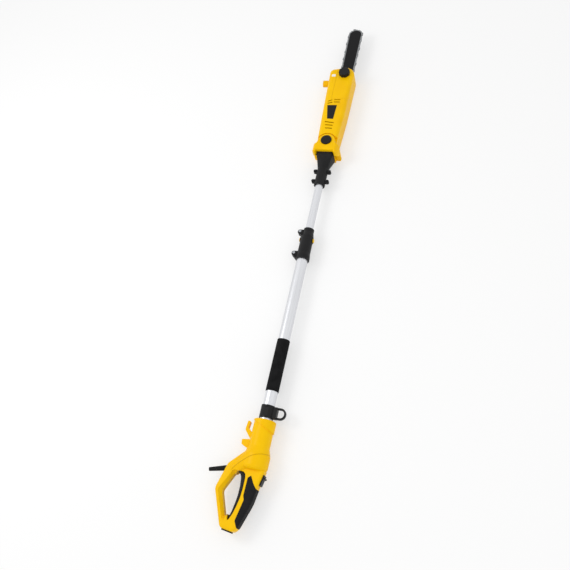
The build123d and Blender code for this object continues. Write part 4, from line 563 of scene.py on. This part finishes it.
# %% [markdown]
# ## The hand opening
#
# Beside the opening the grip's edge stands back, so that a strip of the trigger shows from the
# front. One prism cuts that edge right through, and a second one, behind the front face, is the
# room that the trigger needs when it is pressed. A spun rib closes a thin slit in the bell's rounded
# end, where the room inside comes through the wall. The plans are x and y in millimetres.

# %% Handle covers
TRIGGER_HALF = 14.5  # half the trigger's width
POCKET_HALF = 14.9
THROUGH_HALF = 40  # beyond both faces of the grip
RIB_STEPS = 32
OPENING = [
    (-44, -154), (-41, -149.5), (-34, -147.8), (-22.5, -149), (-16, -155), (-14, -165), (-13.8, -194),
    (-15.8, -218.5), (-20.5, -241), (-26, -261), (-33.5, -277), (-37.5, -279), (-40, -270), (-45, -245),
    (-45, -200), (-44, -170),
]
POCKET = [
    (-30, -147.9), (-10, -148.5), (-4.2, -158), (-4.2, -186), (-5.5, -194), (-8.8, -218.5), (-15, -241),
    (-22, -261), (-31, -279), (-36, -279), (-36, -200),
]
# The rib's section: distance from the pole's axis, and y
RIB = [(35, -134.5), (34, -135.8), (33.4, -136.4), (32.8, -137), (31.5, -138), (30, -136), (33, -133)]
covers = []
# Each shell's half of the rib is spun round to its own side
for node, turn in (("handle_shell_front", -1), ("handle_shell_rear", 1)):
    opening_cut = prism(OPENING, -THROUGH_HALF, THROUGH_HALF)
    pocket_cut = prism(POCKET, -POCKET_HALF, POCKET_HALF)
    rib = bmesh.new()
    section = loop_of(rib, [Vector((radius, y, 0)) * MM for radius, y in RIB])
    half_turn = turn * math.pi
    bmesh.ops.spin(rib, geom=section, cent=(0, 0, 0), axis=(0, 1, 0), angle=half_turn, steps=RIB_STEPS)
    bmesh.ops.holes_fill(rib, edges=rib.edges, sides=0)
    bmesh.ops.recalc_face_normals(rib, faces=rib.faces)
    tools = [(rib, "UNION"), (opening_cut, "DIFFERENCE"), (pocket_cut, "DIFFERENCE")]
    shell = combine(merged_copy(node), tools)
    piece = make_piece(node.replace("shell", "cover"), shell, "handle", slot_of[node], crease=CUT_CREASE)
    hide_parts(node)
    covers.append(piece)

# %% [markdown]
# ## The line on the bell
#
# A shallow line runs in an arch across the handle's bell. A groove that follows a curved shell
# is hard to cut, so a copy of the yellow finish draws it: the distance to a circle, seen along Z,
# gives the line, a bump sinks it and a deeper colour paints shade into it.

# %% Where the line runs
ARCH_CENTRE = Vector((56.3, -232.8, 0)) * MM
ARCH_RADIUS = 140.7 * MM
ARCH_HALF = 1.2 * MM  # half the line's width
ARCH_END = -148 * MM  # where the line fades out beside the hand opening
ARCH_FADE = 6 * MM
shade_lined_finish = finishes["yellow_shell"].copy()
shade_lined_finish.name = "abs_moulded_yellow_painted_shade_line"
tree = shade_lined_finish.node_tree
place = add(tree, "ShaderNodeTexCoord").outputs["Object"]
axes = add(tree, "ShaderNodeSeparateXYZ", {"Vector": place}).outputs
flat = add(tree, "ShaderNodeCombineXYZ", {"X": axes["X"], "Y": axes["Y"]}).outputs["Vector"]
reach = add(
    tree, "ShaderNodeVectorMath", {0: flat, 1: ARCH_CENTRE}, operation="DISTANCE"
).outputs["Value"]
beside = add(tree, "ShaderNodeMath", {0: reach, 1: ARCH_RADIUS}, operation="SUBTRACT").outputs["Value"]
away = add(tree, "ShaderNodeMath", {0: beside}, operation="ABSOLUTE").outputs["Value"]
line = add(
    tree, "ShaderNodeMapRange", {"Value": away, "From Max": ARCH_HALF, "To Min": 1.0, "To Max": 0.0}
).outputs["Result"]
fade = add(
    tree, "ShaderNodeMapRange", {"Value": axes["Y"], "From Min": ARCH_END - ARCH_FADE, "From Max": ARCH_END}
).outputs["Result"]
groove_and_shade = add(tree, "ShaderNodeMath", {0: line, 1: fade}, operation="MULTIPLY").outputs["Value"]
print("line of", 2 * ARCH_HALF, "m across the bell")

# %% Sink the line and paint its shade
# The line's deeper colour is painted shade; the bump sinks the line
LINE_SHADE_COLOUR = "#CF9A00"
LINE_DEPTH = 0.8 * MM
MIX_FIRST, MIX_SECOND, MIX_RESULT = 6, 7, 2  # a Mix node's sockets for colours
shader = tree.nodes["Principled BSDF"]
tone = shader.inputs["Base Color"].links[0].from_socket
normal = shader.inputs["Normal"].links[0].from_socket
painted_line_shade = add(
    tree,
    "ShaderNodeMix",
    {0: groove_and_shade, MIX_FIRST: tone, MIX_SECOND: linear(LINE_SHADE_COLOUR)},
    data_type="RGBA",
).outputs[MIX_RESULT]
sunk = add(
    tree, "ShaderNodeBump", {"Distance": LINE_DEPTH, "Height": groove_and_shade, "Normal": normal}, invert=True
).outputs["Normal"]
tree.links.new(painted_line_shade, shader.inputs["Base Color"])
tree.links.new(sunk, shader.inputs["Normal"])
for cover in covers:
    cover.data.materials[0] = shade_lined_finish
print(shade_lined_finish.name, "on", len(covers), "covers")

# %% [markdown]
# ## The trigger
#
# The trigger is a long lever with rounded sides and a hook at its top, hinged near the bottom of the
# grip. It is a channel: two cheeks reach back into the grip on both sides of the switch and the
# spring. A box could be pulled into this shape, but its outline, seen along Z, says nearly all of
# it. So the outline is extruded, the rims are bevelled, and Booleans take out the channel and the
# pin's hole and add the arm. The plans are x and y in millimetres.

# %% Trigger
TRIGGER_ROUND = 2  # radius of the rounded sides
ROUND_STEPS = 3
CHANNEL_HALF = 8.5  # half the width between the cheeks
ARM_HALF = 6
PIN = (-40, -281)
PIN_ROOM = 2.1  # radius of the pin's hole
PIN_LENGTH = 40
PIN_SIDES = 24
OUTLINE = [
    (-38.9, -152.3), (-31.5, -156.5), (-28, -163), (-26.5, -172), (-24.8, -188), (-25.2, -212),
    (-27.3, -230), (-31.4, -254), (-37, -274), (-33, -275), (-24.5, -261), (-19, -241), (-14.3, -218.5),
    (-12.3, -194), (-12.5, -166), (-14.5, -156), (-22.8, -149.8), (-34, -148.6),
]
CHANNEL = [(-20, -140), (-20, -151), (-16, -190), (-18, -226), (-34, -277), (0, -277), (0, -140)]
ARM = [
    (-34, -258), (-44.6, -279), (-44.6, -283.5), (-41.5, -285.6), (-38.5, -285.6), (-36.6, -283), (-28, -262),
]
bm = prism(OUTLINE, -TRIGGER_HALF, TRIGGER_HALF)
rims = [edge for edge in bm.edges if abs(edge.verts[0].co.z - edge.verts[1].co.z) < MM]
bmesh.ops.bevel(
    bm,
    geom=rims,
    offset=TRIGGER_ROUND * MM,
    segments=ROUND_STEPS,
    profile=0.5,
    affect="EDGES",
    material=-1,
)
pin_hole = bmesh.new()
bmesh.ops.create_cone(
    pin_hole,
    cap_ends=True,
    segments=PIN_SIDES,
    radius1=PIN_ROOM * MM,
    radius2=PIN_ROOM * MM,
    depth=PIN_LENGTH * MM,
    matrix=Matrix.Translation((PIN[0] * MM, PIN[1] * MM, 0)),
)
lever = combine(bm, [
    (prism(CHANNEL, -CHANNEL_HALF, CHANNEL_HALF), "DIFFERENCE"),
    (prism(ARM, -ARM_HALF, ARM_HALF), "UNION"),
    (pin_hole, "DIFFERENCE"),
])
piece = make_piece("long_trigger", lever, "trigger_lever", slot_of["trigger"], crease=CUT_CREASE)
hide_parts("trigger")

# %% [markdown]
# ## The yoke
#
# The yoke's front half is rounded back towards its ears and the lower corners of both halves are
# round, where the solids have square wings. A bevel needs clean edges, which a solid's triangles
# don't give, so a copy of each half is cut. A prism that runs along the pole takes off each front
# corner, with a few flat steps that are shaded round, and a prism across the yoke leaves a quarter
# of an ellipse of each wing, from the height of its screw down to its foot.

# %% Yoke covers
FRONT_SPAN = (900, 966)  # y of the rounded front
# The rounding's section: x and z
ROUNDING = [(34, 42), (39, 37.5), (43, 31), (46, 22), (48.2, 8), (53, 8), (53, 42)]
SCREW_Y = 950  # height of the yoke's screws
# The inner end of each half's round corner, as x, and its foot, as y
FRONT_CORNER = (31, 923.5)
REAR_CORNER = (41, 943.8)
WING_SIDE = 47.7  # x of the wings' outer faces
ARC_STEP = 10  # degrees
# Beyond the wings on both sides, and below their feet
CLEAR_SIDE = 60
CLEAR_FOOT = 910


def front_cut(side):
    """A prism along the pole that rounds one front corner."""
    return prism([(side * x, z) for x, z in ROUNDING], *FRONT_SPAN, along=1)


def wing_cut(side, inner, foot):
    """A prism that takes off one wing's lower corner outside a quarter of an ellipse."""
    plan = [(CLEAR_SIDE, SCREW_Y)]
    for degrees in range(0, 91, ARC_STEP):
        angle = math.radians(degrees)
        x = inner + (WING_SIDE - inner) * math.cos(angle)
        plan.append((x, SCREW_Y - (SCREW_Y - foot) * math.sin(angle)))
    plan += [(inner, CLEAR_FOOT), (CLEAR_SIDE, CLEAR_FOOT)]
    return prism([(side * x, y) for x, y in plan], -CLEAR_SIDE, CLEAR_SIDE)


SIDES = (-1, 1)
yoke_cuts = {
    "yoke_front": [front_cut(side) for side in SIDES] + [wing_cut(side, *FRONT_CORNER) for side in SIDES],
    "yoke_rear": [wing_cut(side, *REAR_CORNER) for side in SIDES],
}
for node, cuts in yoke_cuts.items():
    half = combine(merged_copy(node), [(cut, "DIFFERENCE") for cut in cuts])
    cover_name = node.replace("yoke", "yoke_cover")
    piece = make_piece(cover_name, half, "upper_pole", slot_of[node], crease=CUT_CREASE)
    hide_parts(node)

# %% [markdown]
# ## Screw recesses
#
# A screw head without a recess looks like a peg. The small heads have a pressed cross, and the two
# bolts of the sleeve have a hexagon socket. New screws could be modelled, but the solids stand where
# they belong, so a copy of each group is parted into its screws and each gets a cut in its wider end.

# %% Plans of the recesses
CROSS_REACH = 2.3  # from the middle to the end of an arm, in millimetres as all of these
CROSS_HALF = 0.55  # half an arm's width
SOCKET_RADIUS = 2.6  # to a corner of the hexagon
RECESS = 1.5  # depth
WIDE_HEAD = 8  # heads wider than this have a socket
NEAR = 0.01


def star(corners, copies):
    """A closed plan in which some corners repeat round the middle."""
    turns = [Matrix.Rotation(step * math.tau / copies, 2) for step in range(copies)]
    return [turn @ Vector(corner) for turn in turns for corner in corners]


cross = star([(CROSS_REACH, -CROSS_HALF), (CROSS_REACH, CROSS_HALF), (CROSS_HALF, CROSS_HALF)], copies=4)
hexagon = star([(SOCKET_RADIUS, 0)], copies=6)
print("a cross of", len(cross), "corners and a socket of", len(hexagon))

# %% Recessed screws
def islands(bm):
    """The connected groups of a bmesh's vertices."""
    seen = set()
    groups = []
    for first in bm.verts:
        if first in seen:
            continue
        seen.add(first)
        group = [first]
        for vert in group:
            fresh = [edge.other_vert(vert) for edge in vert.link_edges]
            fresh = [other for other in fresh if other not in seen]
            seen.update(fresh)
            group += fresh
        groups.append(group)
    return groups


def recess(screw):
    """The prism to cut into the wider end of a screw that stands along Z."""
    places = [vert.co / MM for vert in screw]
    heights = [place.z for place in places]
    widths = []
    for end in (max(heights), min(heights)):
        across = [place.x for place in places if abs(place.z - end) < NEAR]
        widths.append(max(across) - min(across))
    looks_up = widths[0] > widths[1] - NEAR
    top = max(heights) if looks_up else min(heights)
    plan = hexagon if max(widths) > WIDE_HEAD else cross
    low = [min(place[axis] for place in places) for axis in range(2)]
    high = [max(place[axis] for place in places) for axis in range(2)]
    middle = (Vector(low) + Vector(high)) / 2
    return prism([corner + middle for corner in plan], top - RECESS, top + RECESS)


screw_bodies = {
    "handle_screws": "handle", "clamp_bolts": "handle", "neck_screws": "upper_pole", "head_screws": "head",
}
for node, body in screw_bodies.items():
    group = merged_copy(node)
    cuts = [(recess(screw), "DIFFERENCE") for screw in islands(group)]
    screws = combine(group, cuts)
    piece = make_piece("recessed_" + node, screws, body, slot_of[node], crease=CUT_CREASE)
    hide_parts(node)

# %% [markdown]
# ## The foam grip
#
# A tube of foam is pushed over the pole as a second hand grip. Its ends are cut square and then
# pull in a little where the foam is stretched over the tube. Cloth simulation could swell it, but
# foam as tight as this stays round, so a closed profile is turned about the pole: the inside lies on
# the tube, and the outside is crowned at the ends.

# %% Foam grip
TUBE_RADIUS = 17.5 * MM
ROLL = 1.6 * MM  # how far from its ends the foam pulls in
SHOULDER = 0.4 * ROLL
SHOULDER_DROP = 0.2 * MM
END_DROP = 0.7 * MM
FOAM_STEPS = 64
foam_low, foam_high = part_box("foam_grip")
foam_radius = foam_high.x
start, end = foam_low.y, foam_high.y
outline = [
    (TUBE_RADIUS, start),
    (foam_radius - END_DROP, start),
    (foam_radius - SHOULDER_DROP, start + SHOULDER),
    (foam_radius, start + ROLL),
    (foam_radius, end - ROLL),
    (foam_radius - SHOULDER_DROP, end - SHOULDER),
    (foam_radius - END_DROP, end),
    (TUBE_RADIUS, end),
]
bm = bmesh.new()
bmesh.ops.spin(
    bm,
    geom=loop_of(bm, [(radius, y, 0) for radius, y in outline]),
    cent=(0, 0, 0),
    axis=(0, 1, 0),
    angle=2 * math.pi,
    steps=FOAM_STEPS,
    use_merge=True,
)
foam = make_piece("foam_sleeve", bm, "handle", "foam")
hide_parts("foam_grip")

# %% [markdown]
# ## The chain's rivets
#
# Every link is held by a rivet whose two heads are peened over the tie straps, so the chain has a
# row of small round heads on both faces. They lie on the chain's rivet line: two straight runs, an
# arc round the nose and an arc round the sprocket. An array along a curve could place them, but
# stepping along these four parts by the pitch puts each one exactly on its link. One short cone
# makes each head.

# %% Rivet line
PITCH = 9.525 * MM
RIVETS = 72
SPROCKET_TEETH = 7  # each takes two pitches of the chain
NOSE_RADIUS = 24 * MM  # of the rivet line round the bar's nose
SOLVE_STEPS = 60
sprocket = Vector((10.5, 1224.5, 12.0)) * MM
sprocket_radius = SPROCKET_TEETH * PITCH / math.pi
# From the sprocket's middle to the nose's: each step brings the line nearer to the chain's length
reach = RIVETS * PITCH / 2
for step in range(SOLVE_STEPS):
    lean = math.asin((NOSE_RADIUS - sprocket_radius) / reach)
    ends = NOSE_RADIUS * (math.pi + 2 * lean) + sprocket_radius * (math.pi - 2 * lean)
    reach = (RIVETS * PITCH - ends) / (2 * math.cos(lean))
side_run = reach * math.cos(lean)
nose_run = NOSE_RADIUS * (math.pi + 2 * lean)


def rivet_place(run):
    """A point on the rivet line, as x and y from the sprocket's middle."""
    if run < side_run:
        x = sprocket_radius * math.cos(lean) + run * math.sin(lean)
        return x, run * math.cos(lean) - sprocket_radius * math.sin(lean)
    run -= side_run
    if run < nose_run:
        angle = run / NOSE_RADIUS - lean
        return NOSE_RADIUS * math.cos(angle), reach + NOSE_RADIUS * math.sin(angle)
    run -= nose_run
    if run < side_run:
        x = run * math.sin(lean) - NOSE_RADIUS * math.cos(lean)
        return x, reach - NOSE_RADIUS * math.sin(lean) - run * math.cos(lean)
    angle = math.pi + lean + (run - side_run) / sprocket_radius
    return sprocket_radius * math.cos(angle), sprocket_radius * math.sin(angle)


print("the nose's middle is", round(reach, 4), "m from the sprocket's")

# %% Rivet heads
FIRST_RIVET = 0.5  # pitches from where the chain leaves the sprocket
STRAP_FACE = 2.05 * MM  # outer face of a strap from the chain's middle plane
RIVET_RADIUS = 1.7 * MM
RIVET_TOP = 0.7 * RIVET_RADIUS
RIVET_HEIGHT = 0.4 * MM
RIVET_SIDES = 10
RIVET_CREASE = 20
bm = bmesh.new()
for rivet in range(RIVETS):
    x, y = rivet_place((rivet + FIRST_RIVET) * PITCH)
    for side in SIDES:
        height = side * (STRAP_FACE + RIVET_HEIGHT / 2)
        place = Matrix.Translation(sprocket + Vector((x, y, height)))
        if side < 0:
            place = place @ Matrix.Rotation(math.pi, 4, "X")
        bmesh.ops.create_cone(
            bm,
            cap_ends=True,
            segments=RIVET_SIDES,
            radius1=RIVET_RADIUS,
            radius2=RIVET_TOP,
            depth=RIVET_HEIGHT,
            matrix=place,
        )
make_piece("chain_rivets", bm, "head", "chain_steel", crease=RIVET_CREASE)

# %% [markdown]
# ## Springs
#
# Three compression springs push the trigger, the lock-off slide and the tilt button back. The
# model holds each as a plain sleeve, and here the wire is wound: a small ring of points beside the
# axis is spun round it and moved a step forward each time. A sweep along a drawn helix would do
# the same, but the spin keeps every turn exact.

# %% Winding helper
def coil(bm, start, along, length, radius, wire, turns, sides=8, steps=24):
    """A wire of some radius, wound round an axis from a start, inside a length."""
    along = along.normalized()
    beside = along.orthogonal().normalized()
    ring = []
    for corner in range(sides):
        angle = 2 * math.pi * corner / sides
        out = radius - wire + wire * math.cos(angle)
        ring.append(start + beside * out + along * (wire + wire * math.sin(angle)))
    rise = along * (length - 2 * wire) / (turns * steps)
    bmesh.ops.spin(
        bm,
        geom=loop_of(bm, ring),
        cent=start,
        axis=along,
        dvec=rise,
        angle=2 * math.pi * turns,
        steps=turns * steps,
    )
    bmesh.ops.holes_fill(bm, edges=bm.edges, sides=0)


print("winding helper ready")

# %% Springs
SPRING_WIRE = 0.8 * MM
SPRING_TURNS = 3
SLIDE_SPRING = 9 * MM  # length of the lock-off slide's spring
trigger_low, trigger_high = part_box("trigger_spring")
trigger_middle = (trigger_low + trigger_high) / 2
tilt_low, tilt_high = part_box("tilt_spring")
slide_way = Vector((10, 46, 0)).normalized()
slide_start = Vector((24.83, -163.71, 0)) * MM
# For each spring: its body, start, direction, length and radius, the joint that presses it and its travel
springs = {
    "trigger_spring": (
        "handle", Vector((trigger_high.x, trigger_middle.y, 0)), Vector((-1, 0, 0)),
        trigger_high.x - trigger_low.x, 3.4 * MM, "trigger_press", 4.7 * MM,
    ),
    "lock_off_spring": (
        "handle", slide_start + slide_way * SLIDE_SPRING, -slide_way,
        SLIDE_SPRING, 3.1 * MM, "lock_off_slide", 5 * MM,
    ),
    "tilt_spring": (
        "upper_pole", Vector((0, (tilt_low.y + tilt_high.y) / 2, tilt_low.z)), Vector((0, 0, 1)),
        tilt_high.z - tilt_low.z, 14 * MM, "tilt_button_press", 5 * MM,
    ),
}
for name, (body, start, along, length, radius, joint, travel) in springs.items():
    bm = bmesh.new()
    coil(bm, start, along, length, radius, SPRING_WIRE, SPRING_TURNS)
    piece = make_piece(name + "_coil", bm, body, "spring_steel")
    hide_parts(name)
    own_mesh(piece)

# %% [markdown]
# ## The coiled lead
#
# Inside the tubes a curly lead carries the current to the head, and its curls open and close as
# the pole is set longer or shorter. A bevelled curve could follow its helix, but the helper for
# springs winds it already. The piece rides on no body.

# %% Coiled lead
LEAD_RADIUS = 2.5 * MM
LEAD_CURLS = 18
lead_low, lead_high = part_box("coiled_lead")
bm = bmesh.new()
foot = Vector((0, lead_low.y, 0))
coil(bm, foot, Vector((0, 1, 0)), lead_high.y - lead_low.y, lead_high.x, LEAD_RADIUS, LEAD_CURLS)
lead = make_piece("curly_lead", bm, None, "lead_rubber")
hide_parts("coiled_lead")
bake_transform(lead)

# %% [markdown]
# ## The floor
#
# The picture is a studio cut-out: pure white all round, with a soft grey shadow on the floor. More
# light would make a floor white, but it would bleach the object too. Instead the floor is a pale
# plane that is part light and part painted where the camera sees it, so that it is white and still
# takes the shadow.

# %% Floor
FLOOR = -37 * MM
FLOOR_GAP = 0.2 * MM  # keeps the floor just under the object
FLOOR_HALF = 8.0
FLOOR_MIDDLE = 0.6
GLOW_SHARE = 0.5


def seen_directly(tree):
    """A socket that is 1 for what the camera sees, also in a shine or through glass, and else 0."""
    rays = add(tree, "ShaderNodeLightPath").outputs
    seen = rays["Is Camera Ray"]
    for other in ("Is Glossy Ray", "Is Transmission Ray"):
        seen = add(tree, "ShaderNodeMath", {0: seen, 1: rays[other]}, operation="MAXIMUM").outputs["Value"]
    return seen


bm = bmesh.new()
bmesh.ops.create_grid(bm, x_segments=1, y_segments=1, size=FLOOR_HALF)
bmesh.ops.translate(bm, verts=bm.verts, vec=(0, FLOOR_MIDDLE, FLOOR - FLOOR_GAP))
mesh = bpy.data.meshes.new("studio_floor")
bm.to_mesh(mesh)
bm.free()
floor = bpy.data.objects.new("studio_floor", mesh)
bpy.context.collection.objects.link(floor)
material = bpy.data.materials.new("paper_white")
material.use_nodes = True
tree = material.node_tree
tree.nodes.clear()
share = add(tree, "ShaderNodeMath", {0: seen_directly(tree), 1: GLOW_SHARE}, operation="MULTIPLY")
paper = add(tree, "ShaderNodeBsdfDiffuse", {"Color": linear("#FAFAFA")})
glow = add(tree, "ShaderNodeEmission", {"Strength": 1.0})
mix = add(
    tree,
    "ShaderNodeMixShader",
    {0: share.outputs["Value"], 1: paper.outputs["BSDF"], 2: glow.outputs["Emission"]},
)
add(tree, "ShaderNodeOutputMaterial", {"Surface": mix.outputs["Shader"]})
mesh.materials.append(material)
print("floor at", FLOOR)

# %% [markdown]
# ## Light and background
#
# A studio surrounds a product with soft light. A picture of a sky could do that, but an even white
# world needs no file. It is pure white where the camera sees it and a little weaker as a light, so
# that the colours come out as they are written. Two large lamps add the shine and the shadow.

# %% World and lamps
SKY_SEEN = 1.0
SKY_LIGHT = 0.8
POLE_MIDDLE = Vector((0, 0.5, 0))  # where the lamps point
world = bpy.data.worlds.new("studio_white")
bpy.context.scene.world = world
world.use_nodes = True
tree = world.node_tree
tree.nodes.clear()
strength = add(
    tree,
    "ShaderNodeMapRange",
    {"Value": seen_directly(tree), "To Min": SKY_LIGHT, "To Max": SKY_SEEN},
)
sky = add(
    tree,
    "ShaderNodeBackground",
    {"Color": linear("#FFFFFF"), "Strength": strength.outputs["Result"]},
)
add(tree, "ShaderNodeOutputWorld", {"Surface": sky.outputs["Background"]})


def soft_box(name, place, size, power):
    """A square studio lamp that points at the middle of the pole, with its size in metres."""
    lamp = bpy.data.lights.new(name, "AREA")
    lamp.shape = "SQUARE"
    lamp.size = size
    lamp.energy = power
    holder = bpy.data.objects.new(name, lamp)
    bpy.context.collection.objects.link(holder)
    aim = (POLE_MIDDLE - Vector(place)).to_track_quat("-Z", "Y")
    holder.matrix_world = Matrix.Translation(place) @ aim.to_matrix().to_4x4()
    print(name, "gives", power, "watts")


soft_box("key_lamp", (-1.5, 0.4, 1.9), size=0.9, power=14)
soft_box("fill_lamp", (1.4, -0.6, 2.2), size=1.6, power=6)

# %% [markdown]
# ## The view
#
# The picture is shown without any film look.

# %% Finish
bpy.context.scene.view_settings.view_transform = "Standard"
